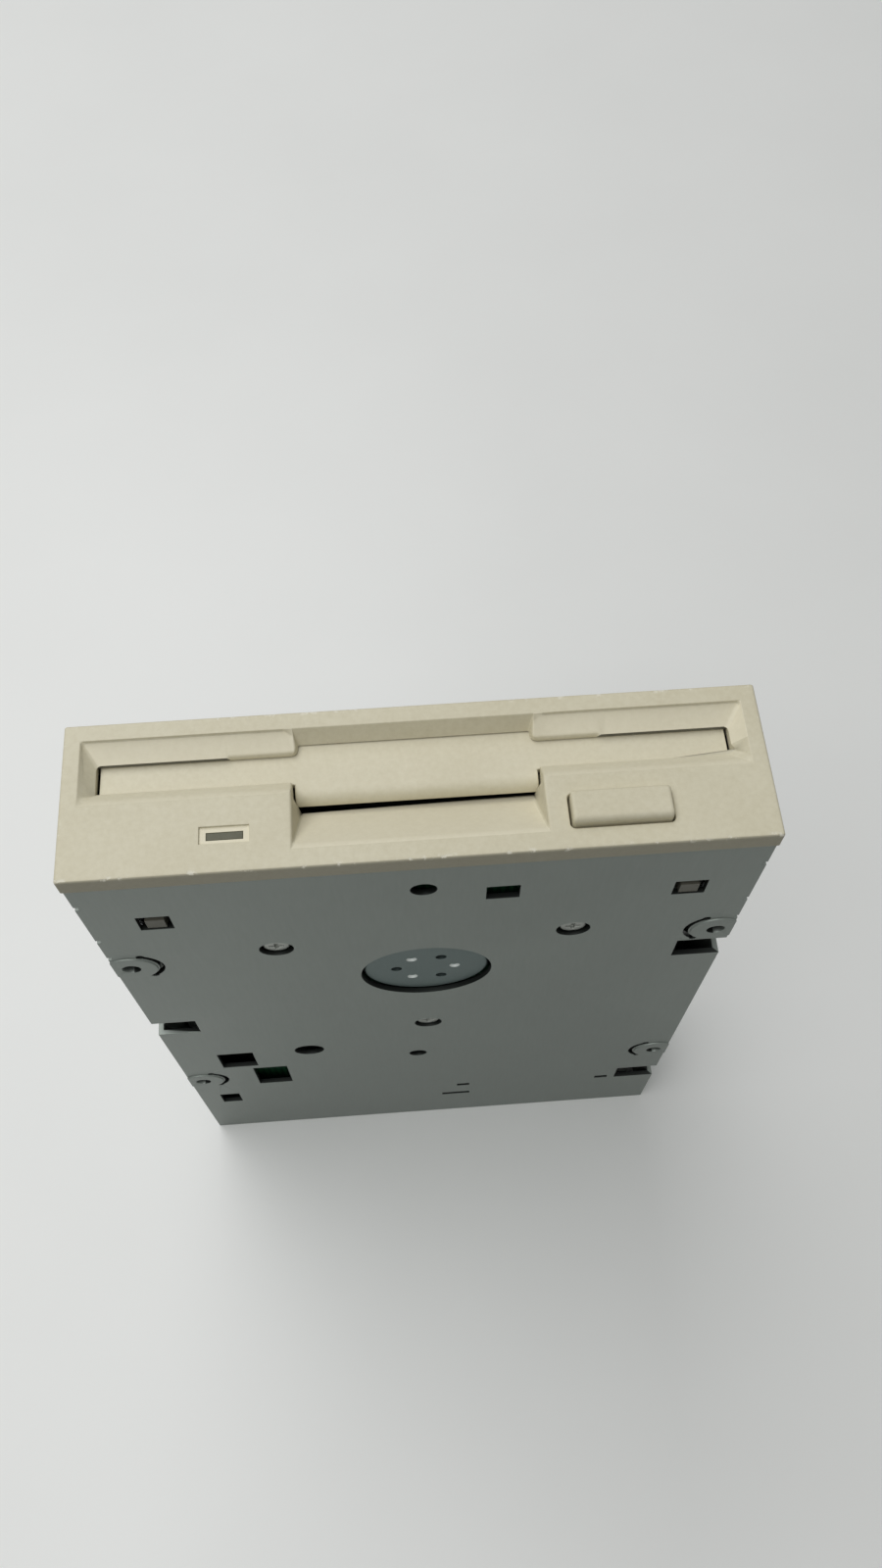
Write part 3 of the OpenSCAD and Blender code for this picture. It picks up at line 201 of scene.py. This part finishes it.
def mouldedResin(name, pale, dark, rough, grainSize=resinSkin["grain"]):
    finish, tree, shader, place = newFinish(name, IOR=1.5)
    flow = addNode(tree, "TexNoise", {"Vector": place},
                   {"Scale": perMm(resinSkin["flow"]), "Detail": 4, "Distortion": 0.6}).outputs["Fac"]
    grain = addNode(tree, "TexNoise", {"Vector": place},
                    {"Scale": perMm(grainSize), "Detail": 2}).outputs["Fac"]
    tint = addNode(tree, "Mix", {0: flow}, {6: linear(dark), 7: linear(pale)}, data_type="RGBA")
    gloss = addNode(tree, "MapRange", {"Value": grain}, {"To Min": rough - 0.08, "To Max": rough + 0.08})
    bump = addNode(tree, "Bump", {"Height": grain}, {"Strength": 0.1, "Distance": resinSkin["depth"] * mm})
    wire(tree, shader, Base_Color=tint.outputs[2], Roughness=gloss.outputs[0], Normal=bump.outputs[0])
    return finish


# Solder mask over glass cloth: dark glossy green with a weave, and paler bundles of copper tracks under it.
# Sizes in mm, and how long a wave of the texture is at a scale of 1
board = {"weave": 0.5, "weaveDepth": 0.02, "patch": 9, "trackPitch": 1.27, "trackHeight": 0.03,
         "waveLength": 0.314}


def solderMask(name, pale, dark):
    finish, tree, shader, place = newFinish(name, Roughness=0.3, IOR=1.55)
    weave = addNode(tree, "TexChecker", {"Vector": place}, {"Scale": perMm(board["weave"])})
    patch = addNode(tree, "TexNoise", {"Vector": place}, {"Scale": perMm(board["patch"]), "Detail": 0})
    spacing = {"Scale": board["waveLength"] * perMm(board["trackPitch"])}
    across, along = [addNode(tree, "TexWave", {"Vector": place}, spacing, bands_direction=d).outputs["Fac"]
                     for d in "XZ"]
    turn = addNode(tree, "MapRange", {"Value": patch.outputs["Fac"]}, {"From Min": 0.495, "From Max": 0.505})
    bundle = addNode(tree, "Mix", {0: turn.outputs[0], 2: across, 3: along})
    track = addNode(tree, "MapRange", {"Value": bundle.outputs[0]},
                    {"From Min": 0.55, "From Max": 0.7}).outputs[0]
    tint = addNode(tree, "Mix", {0: track}, {6: linear(dark), 7: linear(pale)}, data_type="RGBA")
    bump = addNode(tree, "Bump", {"Height": weave.outputs["Fac"]},
                   {"Strength": 0.05, "Distance": board["weaveDepth"] * mm})
    lift = addNode(tree, "Bump", {"Height": track, "Normal": bump.outputs[0]},
                   {"Strength": 0.3, "Distance": board["trackHeight"] * mm})
    wire(tree, shader, Base_Color=tint.outputs[2], Normal=lift.outputs[0])
    return finish


bezelCorner = boxOf("front_bezel")[1]
finishes = {
    # the pan's dark #2C2F2D is painted shade on the walls of its holes
    "zinc_steel": zincSheet("zincPlatedSheet", "#848A85", "#7A807B", 0.48, "#2C2F2D"),
    "bright_steel": turnedMetal("platedTurnedSteel", "#C9CBCC", "#A9ACAE", 0.3),
    # the bezel's pale #F6EFD8 is painted light and its dark #2B2E2A painted shade; #E4E0CF is the chipped
    # skin
    "beige_abs": mouldedAbs("mouldedAbsGrain", "#D4CEB6", "#CAC3A9", "#F6EFD8", "#2B2E2A", "#E4E0CF",
                            bezelCorner),
    "circuit_board": solderMask("greenSolderMask", "#1F4A30", "#0F2E1D"),
    "black_plastic": mouldedResin("mouldedBlackResin", "#26262A", "#19191C", 0.5),
    "white_nylon": mouldedResin("mouldedWhiteNylon", "#E4E2D8", "#D4D1C5", 0.45),
    "core_steel": turnedMetal("laminatedCoreSteel", "#7C8082", "#5E6265", 0.45),
    "copper_wire": turnedMetal("enamelledCopper", "#B8733A", "#8F5122", 0.32),
    "bronze": turnedMetal("sinteredBronze", "#A88552", "#806236", 0.48),
    "gold_pins": turnedMetal("goldPlatedBrass", "#D6B766", "#B4934A", 0.25),
    "amber_film": mouldedResin("polyimideFilm", "#B9782C", "#9A5F1E", 0.28),
    "smoke_lens": mouldedResin("smokedLens", "#4B4A30", "#3B3A22", 0.42, 0.8),
    "green_resin": mouldedResin("greenLampResin", "#8FBF7A", "#76A964", 0.25),
    "ferrite": mouldedResin("bondedFerrite", "#4A4B4E", "#37383B", 0.55),
    "ferrite_head": mouldedResin("lappedFerrite", "#7F8084", "#6B6C70", 0.18, 1.2),
}
piecesOf = {
    "zinc_steel": ["chassis_pan", "top_cover", "mid_deck", "stepper_bracket", "slide_plate", "disk_carrier",
                   "spindle_rotor", "stepper_motor", "head_arm", "chuck_hub"],
    "bright_steel": ["motor_screws", "board_screws", "guide_rod", "lead_screw", "spindle_shaft", "drive_pin",
                     "lever_pin", "arm_pin", "screw_follower", "slide_springs", "door_spring", "lever_spring",
                     "arm_spring", "power_pins"],
    "beige_abs": ["front_bezel", "slot_door", "eject_button"],
    "circuit_board": ["motor_board", "control_board"],
    "black_plastic": ["motor_chip", "board_chips", "rod_clamps", "signal_header", "track_sensor",
                      "switch_bodies", "trigger_lever", "head_carriage"],
    "white_nylon": ["power_connector", "protect_plunger", "density_plunger", "disk_plunger"],
    "core_steel": ["stator_core"],
    "copper_wire": ["stator_coils"],
    "bronze": ["spindle_bearing"],
    "gold_pins": ["signal_pins"],
    "amber_film": ["head_ribbon"],
    "smoke_lens": ["led_lens"],
    "green_resin": ["indicator_led"],
    "ferrite": ["rotor_magnet", "chuck_magnet"],
    "ferrite_head": ["lower_head", "upper_head"],
}
slotOf = {n: slot for slot, names in piecesOf.items() for n in names}
finishOf = {n: finishes[slot] for n, slot in slotOf.items()}
# The screws are duller than the rods, and the rotor is darker and bluer than the pan
finishOf["motor_screws"] = turnedMetal("zincPlatedScrew", "#A3A6A1", "#868983", 0.38)
# the rotor's bright #D5D9D6 is a painted highlight on its dent walls
finishOf["spindle_rotor"] = zincSheet("blackenedRotorCup", "#5F6D6B", "#566361", 0.42, "#D5D9D6")
for name, solid in nodes.items():
    solid.data.materials.clear()
    solid.data.materials.append(finishOf[name])
print("finishes made,", len(bpy.data.materials))


def cadCopy(name):  # merged copy of a solid
    shape = bmesh.new()
    shape.from_mesh(nodes[name].data)
    bmesh.ops.remove_doubles(shape, verts=shape.verts, dist=0.002 * mm)
    return shape


def liesIn(place, x=(-1, 100), y=(-100, 100), z=(0, 200)):  # whether a place is in spans, at either side
    return x[0] < abs(place.x) < x[1] and y[0] < place.y < y[1] and z[0] < place.z < z[1]


def cutRows(shape, axis, places, within=None):  # rows of edges across the faces, in mm
    across = Vector([float(i == axis) for i in range(3)])
    for place in places:
        faces = [f for f in shape.faces if within is None or liesIn(f.calc_center_median() / mm, **within)]
        part = list({v for f in faces for v in f.verts}) + list({e for f in faces for e in f.edges}) + faces
        cut = bmesh.ops.bisect_plane(shape, geom=part, dist=0.001 * mm,
                                     plane_co=across * place * mm, plane_no=across)
        for edge in cut["geom_cut"]:
            if isinstance(edge, bmesh.types.BMEdge):
                edge.seam = True


def near(value, target, room=0.03):  # whether two measures agree, in mm
    return abs(value - target) < room


def joinFlats(shape):  # joins the triangles of each flat, up to the rows cut across it
    bmesh.ops.dissolve_limit(shape, angle_limit=math.radians(0.3), verts=shape.verts, edges=shape.edges,
                             delimit={"SEAM"})


def weighEdges(shape, widthOf=None, least=25, smooth=36):  # writes each edge's rounding as its bevel weight
    weight = shape.edges.layers.float.new("bevel_weight_edge")
    for face in shape.faces:
        face.smooth = True
    for edge in shape.edges:
        if len(edge.link_faces) != 2:
            continue
        turn = math.degrees(edge.calc_face_angle())
        width = 0
        if widthOf and turn > least:
            width = widthOf((edge.verts[0].co + edge.verts[1].co) / (2 * mm), edge)
        edge[weight] = width
        edge.smooth = bool(width) or turn < smooth


def finishPiece(shape, nodeName, fullWidth=0, segments=2):  # makes the object and stands it in for its solid
    mesh = bpy.data.meshes.new(nodeName + ".visual")
    shape.to_mesh(mesh)
    shape.free()
    mesh.materials.append(finishOf[nodeName])
    piece = bpy.data.objects.new(mesh.name, mesh)
    scene.collection.objects.link(piece)
    if fullWidth:  # rounding of an edge whose weight is 1
        soft = piece.modifiers.new("softEdges", "BEVEL")
        soft.limit_method = "WEIGHT"
        soft.width = fullWidth * mm
        soft.segments = segments
        soft.profile = 0.5
        soft.use_clamp_overlap = False
        soft.loop_slide = False
        soft.miter_outer = "MITER_SHARP"
    even = piece.modifiers.new("evenNormals", "WEIGHTED_NORMAL")
    even.keep_sharp = True
    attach(piece, bodyOf[nodeName])
    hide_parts(nodeName)


# Bezel: how far each kind of edge is rounded, in mm
bezel = {
    "outer": 0.4, "rear": 0.12, "rimTop": 0.12, "rimSide": 0.15, "rimLow": 0.9, "pocketCorner": 0.8,
    "stepCorner": 0.5, "lidEdge": 0.55, "lidEnd": 0.35, "lidCorner": 1, "notchCorner": 0.25, "sill": 0.3,
    "sillEnd": 0.3, "thumbLow": 0.8, "thumbSide": 0.35, "thumbCorner": 0.4, "button": 0.2, "lamp": 0.1,
    # share of the lid end's rounding below each height, because the end runs to a point
    "lidEndShares": {144.6: 1, 145.1: 0.75, 145.5: 0.42, 146: 0.1},
    # step under the rim, and how far from the middle the lid's edge is rounded
    "step": 0.65, "lidStep": 27,
    # shades: above 0 painted light that makes a recess, slope or the lamp frame paler, below 0 painted shade
    "hookShade": -0.85, "underShade": -0.3, "gapShade": -0.85, "pocketEndShade": 0.35, "lidShade": 0.3,
    "sillShade": 0.15, "lampShade": 0.4, "thumbShade": 0.3,
}
# Places on the bezel's solid, and spans that hold one part of it, in mm
side, top, front = bezelCorner
back = boxOf("chassis_pan")[1][2]  # the bezel's flange meets the pan's front end
pocket = {"top": 9.75, "side": 48.3, "low": -0.4, "floor": 144, "lidLow": 6.6, "lidBack": 143.3,
          "sillTop": 1.95, "endFrom": 46.2, "endStep": 3.6}
thumb = {"side": 18, "high": -1.05, "low": -9.2, "back": 139.9, "drop": 1.336}
rowsAtBothSides = (49.8, bezel["lidStep"], 19)
rowsByOpenings = (20.6, 28.4, 36.3, -31.3, -27.5, -23.65)
rowsUp = (-3.3, -10.3, -11.6)
pocketDepth = (pocket["floor"], front - 0.01)
lidEndWall = {"x": (16.9, 17.75), "y": (6.7, 9.9)}
lidGap = {"x": (bezel["lidStep"], side), "y": (pocket["lidLow"] - 0.1, pocket["lidLow"] + 0.1),
          "z": (pocket["lidBack"] - 0.1, pocket["floor"])}
pocketEndWall = {"x": (46.4, 48.25), "y": (1, 9), "z": pocketDepth}
pocketEndTop = {"x": (46.4, 48.5), "y": (3, 9.7), "z": pocketDepth}
pocketSlopes = {"x": (17.75, 48.25), "y": (pocket["endStep"], 9.7), "z": pocketDepth}
pocketFlats = {"x": (17.6, 48), "y": (-0.5, 9.7), "z": (pocket["floor"], front - 0.05)}
stepRow = {"x": (18.5, 50), "y": (3.7, 9.7)}
hooks = {"y": (-13, -9), "z": (100, 139)}
thumbFloor = {"x": (-1, 17.9), "y": (thumb["low"], thumb["high"]), "z": (0, front - 0.1)}
buttonBox = boxOf("eject_button")
lensBox = boxOf("led_lens")


def overOpening(place, box, room):  # whether a place is over a piece that shows through the bezel
    return all(box[0][i] - room < place[i] < box[1][i] + room for i in (0, 1))


def frontEdge(mid):  # edges that lie in the bezel's face
    x, y = abs(mid.x), mid.y
    if near(y, pocket["top"]):
        return bezel["rimTop"]
    if near(x, pocket["side"]):
        return bezel["rimSide"]
    if near(y, pocket["low"]) and x > thumb["side"]:
        return bezel["rimLow" if x > thumb["side"] + 1 else "sillEnd"]
    if near(y, thumb["low"]) and x < thumb["side"] + 0.1:
        return bezel["thumbLow"]
    if near(x, thumb["side"]) and thumb["low"] < y < pocket["low"]:
        return bezel["thumbSide"]
    if overOpening(mid, buttonBox, 0.4):
        return bezel["button"]
    return bezel["lamp"] if overOpening(mid, lensBox, 0.1) else 0


def bezelEdge(mid, edge):
    x, y, z = abs(mid.x), mid.y, mid.z
    level = abs(edge.verts[0].co.z - edge.verts[1].co.z) < 0.05 * mm
    atSide, atTop = x > side - 0.1, abs(y) > top - 0.1
    if atSide or atTop:
        if z > front - 0.1 or (atSide and atTop):
            return bezel["outer"]
        return bezel["rear"] if near(z, back) else 0
    if z < thumb["back"] - 0.1:
        return 0
    if z > front - 0.05:
        return frontEdge(mid)
    if level and near(z, pocket["floor"]):
        if near(y, pocket["lidLow"]):
            return bezel["lidEdge"] if x < bezel["lidStep"] else 0
        return bezel["sill"] if near(y, pocket["sillTop"]) else 0
    if not level and x > pocket["endFrom"] and z > pocket["floor"]:
        return bezel["pocketCorner" if y < pocket["endStep"] - 0.6 else "stepCorner"]
    if not level and x < thumb["side"] and y > pocket["lidLow"] - 0.1 and z > pocket["lidBack"]:
        if z < pocket["floor"] and near(y, pocket["lidLow"]):
            return bezel["lidCorner"]
        share = next(share for height, share in bezel["lidEndShares"].items() if z < height)
        return bezel["lidEnd" if edge.is_convex else "notchCorner"] * share
    if near(x, thumb["side"]) and pocket["low"] < y < pocket["sillTop"] and z > pocket["floor"]:
        return bezel["sillEnd"]
    if near(y, thumb["high"] - (z - thumb["back"]) * thumb["drop"]) and x < thumb["side"] + 0.1:
        return bezel["thumbCorner"]
    return 0


def bezelShade(face):
    place, facing = face.calc_center_median() / mm, face.normal
    if liesIn(place, **hooks):
        return bezel["hookShade"]
    if facing.y < -0.9 and place.y < -top + 0.1:
        return bezel["underShade"]
    if facing.y < -0.9 and liesIn(place, **lidGap):
        return bezel["gapShade"]
    if facing.x < -0.3 and liesIn(place, **pocketEndTop):
        return bezel["pocketEndShade"]
    if abs(facing.x) < 0.3 and liesIn(place, **pocketFlats):
        return bezel["lidShade" if place.y > pocket["lidLow"] - 0.6 else "sillShade"]
    if facing.z > 0.9 and near(place.z, lensBox[1][2]) and overOpening(place, lensBox, 0.1):
        return bezel["lampShade"]
    return bezel["thumbShade"] if facing.z > 0.4 and liesIn(place, **thumbFloor) else 0


shape = cadCopy("front_bezel")
cutRows(shape, 0, [s * x for s in (-1, 1) for x in rowsAtBothSides])
cutRows(shape, 0, rowsByOpenings)
cutRows(shape, 1, rowsUp)
cutRows(shape, 2, list(bezel["lidEndShares"])[:-1], lidEndWall)
cutRows(shape, 1, [pocket["endStep"]], pocketEndWall)
joinFlats(shape)
cutRows(shape, 2, [front - bezel["step"]], pocketSlopes)
joinFlats(shape)
for vert in shape.verts:
    place = vert.co / mm
    if near(place.z, front - bezel["step"]) and liesIn(place, **stepRow):  # steep step under the rim
        if place.y > pocket["top"] - 1.75:  # along the top
            vert.co.y = (pocket["top"] - 0.05) * mm
        if abs(place.x) > pocket["side"] - 1.3:  # at the ends
            vert.co.x = math.copysign((pocket["side"] - 0.03) * mm, place.x)
# painted light on the recesses, slopes and lamp frame; painted shade on the hooks, underside and lid gap
paintedLightAndShade = shape.faces.layers.float.new("paintedLightAndShade")
for face in shape.faces:
    face[paintedLightAndShade] = bezelShade(face)
weighEdges(shape, bezelEdge)
finishPiece(shape, "front_bezel", 1, 3)

# Button: rounded over at the front, most along its lower edge. Depths of the rings and radii in mm
button = {"rings": (0.02, 0.07, 0.16, 0.3, 0.48, 0.7, 0.95),
          "lowRound": 0.95, "highRound": 0.4, "endRound": 0.5}
buttonLow, buttonHigh = buttonBox


def roundedBy(radius, depth):  # how far a rounded edge stands back at this depth
    rest = max(radius - depth, 0)
    return radius - math.sqrt(radius ** 2 - rest ** 2)


shape = cadCopy("eject_button")
cutRows(shape, 2, [buttonHigh[2] - d for d in button["rings"]])
joinFlats(shape)
for vert in shape.verts:
    x, y, z = vert.co / mm
    depth = buttonHigh[2] - z
    if depth < button["lowRound"]:
        across = (x - buttonLow[0]) / (buttonHigh[0] - buttonLow[0])
        above = (y - buttonLow[1]) / (buttonHigh[1] - buttonLow[1])
        x += roundedBy(button["endRound"], depth) * (1 - 2 * across)
        y += roundedBy(button["lowRound"], depth) * (1 - above)
        y -= roundedBy(button["highRound"], depth) * above
        vert.co = Vector((x, y, z)) * mm
weighEdges(shape)
finishPiece(shape, "eject_button")

# Door: rounded ends on the curled lip, in mm. Its face is painted a little paler, as painted light
door = {"lipEnd": 0.25, "face": 0.12, "paintedLightAndShade": 0.12, "lipSide": 17.7, "lipTop": 2}


def doorEdge(mid, edge):
    return door["lipEnd"] if near(abs(mid.x), door["lipSide"]) and mid.y < door["lipTop"] else door["face"]


shape = cadCopy("slot_door")
joinFlats(shape)
# painted light: the whole door is painted a little paler
paintedLightAndShade = shape.faces.layers.float.new("paintedLightAndShade")
for face in shape.faces:
    face[paintedLightAndShade] = door["paintedLightAndShade"]
weighEdges(shape, doorEdge, least=40)
finishPiece(shape, "slot_door", 1, 3)

# Screw heads: domed rim and a crossed recess with nearly sharp edges, in mm
screwHead = {"dome": 0.5, "recess": 0.06, "facet": 0.5, "top": boxOf("motor_screws")[0][1]}


def screwHeadEdge(mid, edge):  # the rim is the round of short edges at the top
    onRim = mid.y < screwHead["top"] + 0.1 and edge.calc_length() < screwHead["facet"] * mm
    return screwHead["dome" if onRim else "recess"]


shape = cadCopy("motor_screws")
weighEdges(shape, screwHeadEdge)
finishPiece(shape, "motor_screws", 1, 3)

# Rotor cup: drawn rim, and dents with steep walls that are painted bright, a painted highlight. Sizes in mm
rotor = {"round": 0.6, "dents": 3, "dentAt": 4.85, "dentRim": 0.92, "dentFloor": 0.6, "dentDepth": 0.4,
         "bright": 0.8}
rotorLow, rotorHigh = boxOf("spindle_rotor")
rotorFace = rotorLow[1]
rotorAxis = (rotorLow[2] + rotorHigh[2]) / 2
shape = cadCopy("spindle_rotor")
paintedShadeAndHighlight = shape.faces.layers.float.new("paintedShadeAndHighlight")
for i in range(rotor["dents"]):
    angle = 2 * math.pi * i / rotor["dents"]
    out = Vector((math.cos(angle), 0, math.sin(angle))) * rotor["dentAt"]
    dent = Vector((0, rotorFace, rotorAxis)) + out
    # painted highlight: the dent walls are painted bright
    for face in shape.faces:
        close = (face.calc_center_median() / mm - dent).length < rotor["dentRim"]
        if close and -0.9 < face.normal.y < -0.2:
            face[paintedShadeAndHighlight] = rotor["bright"]
    for vert in shape.verts:
        out = vert.co / mm - dent
        depth = out.y / rotor["dentDepth"]
        if out.length < rotor["dentRim"] and 0.1 < depth < 1.1:
            out.y = 0
            out.length = rotor["dentRim"] + (rotor["dentFloor"] - rotor["dentRim"]) * depth
            vert.co = (dent + out + Vector((0, depth * rotor["dentDepth"], 0))) * mm
bmesh.ops.recalc_face_normals(shape, faces=shape.faces)


def rotorEdge(mid, edge):
    onRim = near(math.hypot(mid.x, mid.z - rotorAxis), rotorHigh[0], 0.1) and mid.y < rotorFace + 0.1
    return rotor["round"] if onRim else 0


weighEdges(shape, rotorEdge, least=40)
finishPiece(shape, "spindle_rotor", 1, 4)

# Springs: coiled wire in place of the plain sleeves. The axis is 0 to 2 for x to z, the middles lie across it
# in the next two, and the span runs along it. Coil and wire are radii in mm
springs = {
    "slide_springs": {"axis": 2, "middles": [(-44, -6.3), (44, -6.3)], "span": (97, 121),
                      "coil": 1.35, "wire": 0.24, "turns": 20},
    "door_spring": {"axis": 0, "middles": [(9.4, 141.4)], "span": (-45.6, -43.4),
                    "coil": 1.27, "wire": 0.3, "turns": 4},
    "lever_spring": {"axis": 1, "middles": [(52, 33)], "span": (8.4, 9.1),
                     "coil": 2.1, "wire": 0.2, "turns": 1.5},
    "arm_spring": {"axis": 0, "middles": [(6.5, 26.2)], "span": (4.2, 5.9),
                   "coil": 1.3, "wire": 0.24, "turns": 3.5},
}
stepsPerTurn = 20
wireSides = 8


def addCoil(shape, spring, middle):  # spins the wire's round section up the coil
    axis, radius = spring["axis"], spring["wire"]
    start, end = spring["span"]
    along, out = [Vector([float(i == (axis + k) % 3) for i in range(3)]) for k in (0, 1)]
    foot = along * (start + radius)
    foot[(axis + 1) % 3], foot[(axis + 2) % 3] = middle
    section = Matrix((out, along, out.cross(along))).transposed().to_4x4()
    section = Matrix.Translation((foot + out * spring["coil"]) * mm) @ section
    steps = int(spring["turns"] * stepsPerTurn)
    ring = bmesh.ops.create_circle(shape, cap_ends=True, segments=wireSides, radius=radius * mm,
                                   matrix=section)
    bmesh.ops.spin(shape, geom=list(ring["verts"][0].link_faces), cent=foot * mm, axis=along,
                   angle=2 * math.pi * spring["turns"], dvec=along * (end - start - 2 * radius) / steps * mm,
                   steps=steps, use_merge=False)


for name, spring in springs.items():
    shape = bmesh.new()
    for middle in spring["middles"]:
        addCoil(shape, spring, middle)
    bmesh.ops.recalc_face_normals(shape, faces=shape.faces)
    weighEdges(shape)
    finishPiece(shape, name)

# Lead screw: a rolled groove with the lead that the carriage follows. Sizes in mm
screw = {"threadLow": 23.5, "threadHigh": 75, "core": 1.2, "lead": 3.75, "sides": 24, "rows": 280,
         "flankFrom": 1.6, "flankSteep": 3}
screwLow, screwHigh = boxOf("lead_screw")
middle = [(a + b) / 2 for a, b in zip(screwLow, screwHigh)]
radius = (screwHigh[0] - screwLow[0]) / 2
shape = bmesh.new()
bmesh.ops.create_cone(shape, cap_ends=True, segments=screw["sides"], radius1=radius * mm, radius2=radius * mm,
                      depth=(screwHigh[2] - screwLow[2]) * mm, matrix=Matrix.Translation(Vector(middle) * mm))
upright = [e for e in shape.edges if abs(e.verts[0].co.z - e.verts[1].co.z) > mm]
bmesh.ops.subdivide_edges(shape, edges=upright, cuts=screw["rows"] - 1, use_grid_fill=True)
for vert in shape.verts:
    x, y, z = vert.co / mm - Vector((middle[0], middle[1], 0))
    turned = math.atan2(y, x) / (2 * math.pi)
    phase = abs((z / screw["lead"] - turned) % 1 - 0.5) * 2  # 0 on the crest, 1 in the groove
    if screw["threadLow"] < z < screw["threadHigh"]:
        sunk = min(max(phase * screw["flankSteep"] - screw["flankFrom"], 0), 1)
        reach = 1 - (1 - screw["core"] / radius) * sunk
        vert.co = Vector((middle[0] + x * reach, middle[1] + y * reach, z)) * mm
bmesh.ops.recalc_face_normals(shape, faces=shape.faces)
weighEdges(shape)
finishPiece(shape, "lead_screw")

# Pieces whose solid is right and only lacks its softened edges: width in mm
edgeSizes = {
    "chassis_pan": 0.12, "top_cover": 0.1, "mid_deck": 0.08, "disk_carrier": 0.1, "slide_plate": 0.08,
    "stepper_bracket": 0.1, "stepper_motor": 0.3, "head_arm": 0.1, "chuck_hub": 0.15, "guide_rod": 0.25,
    "spindle_shaft": 0.25, "board_screws": 0.15, "led_lens": 0.08, "signal_header": 0.15,
    "power_connector": 0.15, "signal_pins": 0.14, "power_pins": 0.14, "head_carriage": 0.15,
    "trigger_lever": 0.15, "rod_clamps": 0.15, "motor_chip": 0.12, "board_chips": 0.12, "switch_bodies": 0.12,
    "track_sensor": 0.12, "protect_plunger": 0.2, "density_plunger": 0.2, "disk_plunger": 0.2,
    "motor_board": 0.06, "control_board": 0.06, "stator_core": 0.06, "stator_coils": 0.2,
}
keptInTriangles = ("chassis_pan", "top_cover", "stator_coils")  # their flats have holes
panOpenings = {"x": (-1, 47.5), "y": (-12.25, -11.3), "z": (1, 139)}  # walls of the holes punched in the pan
for name, width in edgeSizes.items():
    shape = cadCopy(name)
    if name == "chassis_pan":
        # painted shade: the walls of the holes in the pan are painted dark
        paintedShadeAndHighlight = shape.faces.layers.float.new("paintedShadeAndHighlight")
        for face in shape.faces:
            inOpening = liesIn(face.calc_center_median() / mm, **panOpenings)
            face[paintedShadeAndHighlight] = float(inOpening and abs(face.normal.y) < 0.3)
    if name not in keptInTriangles:
        joinFlats(shape)
    weighEdges(shape, lambda mid, edge: 1)
    finishPiece(shape, name, width)

# Table: a pale painted board that keeps the drive's shadow, and gives back little light of its own
table = {"pale": "#F1F2F0", "dark": "#EBECEA", "bounce": "#6A6B6A", "rough": 0.35, "size": 2.4, "mist": 60}
shape = bmesh.new()
bmesh.ops.create_grid(shape, x_segments=1, y_segments=1, size=table["size"] / 2)
mesh = bpy.data.meshes.new("table")
shape.to_mesh(mesh)
shape.free()
finish, tree, shader, place = newFinish("paintedTable", Roughness=table["rough"])
mist = addNode(tree, "TexNoise", {"Vector": place}, {"Scale": perMm(table["mist"]), "Detail": 3})
tint = addNode(tree, "Mix", {0: mist.outputs["Fac"]}, {6: linear(table["dark"]), 7: linear(table["pale"])},
               data_type="RGBA")
tint = addNode(tree, "Mix", {0: seenStraight(tree), 7: tint.outputs[2]}, {6: linear(table["bounce"])},
               data_type="RGBA")
wire(tree, shader, Base_Color=tint.outputs[2])
mesh.materials.append(finish)
floor = bpy.data.objects.new("table", mesh)
scene.collection.objects.link(floor)

# Soft daylight from a long ceiling panel on the left, with a dim pale room round it. Sizes in metres
light = {"watts": 13.4, "wide": 0.9, "long": 2.0, "place": (-0.38, 0.32, 1.15),
         "room": "#F4F6F5", "roomStrength": 0.2, "backdrop": 0.75}
lamp = bpy.data.lights.new("ceiling", "AREA")
lamp.shape = "RECTANGLE"
lamp.energy = light["watts"]
lamp.size = light["wide"]
lamp.size_y = light["long"]
ceiling = bpy.data.objects.new("ceiling", lamp)
ceiling.location = light["place"]
scene.collection.objects.link(ceiling)
world = bpy.data.worlds.new("room")
world.use_nodes = True
tree = world.node_tree
tree.nodes["Background"].inputs["Color"].default_value = linear(light["room"])
level = addNode(tree, "MapRange", {"Value": seenStraight(tree)},
                {"To Min": light["roomStrength"], "To Max": light["backdrop"]})
tree.links.new(level.outputs[0], tree.nodes["Background"].inputs["Strength"])
scene.world = world

# Camera held above the drive's underside, as in the photograph. Place in mm
view = {
    "place": (-2.52, -85.29, 306.63),
    "right": (0.9974, -0.0721, -0.0014),
    "up": (0.0645, 0.8826, 0.4657),
    "lens": 29.27, "film": 36, "nearest": 10,
}
lens = bpy.data.cameras.new("camera")
lens.sensor_fit = "VERTICAL"
lens.sensor_height = view["film"]
lens.lens = view["lens"]
lens.clip_start = view["nearest"] * mm
camera = bpy.data.objects.new("camera", lens)
right = Vector(view["right"]).normalized()
behind = right.cross(Vector(view["up"])).normalized()
turn = Matrix((right, behind.cross(right), behind)).transposed().to_4x4()
camera.matrix_world = Matrix.Translation(Vector(view["place"]) * mm) @ turn
scene.collection.objects.link(camera)
scene.camera = camera
print("stage, lights and camera set")
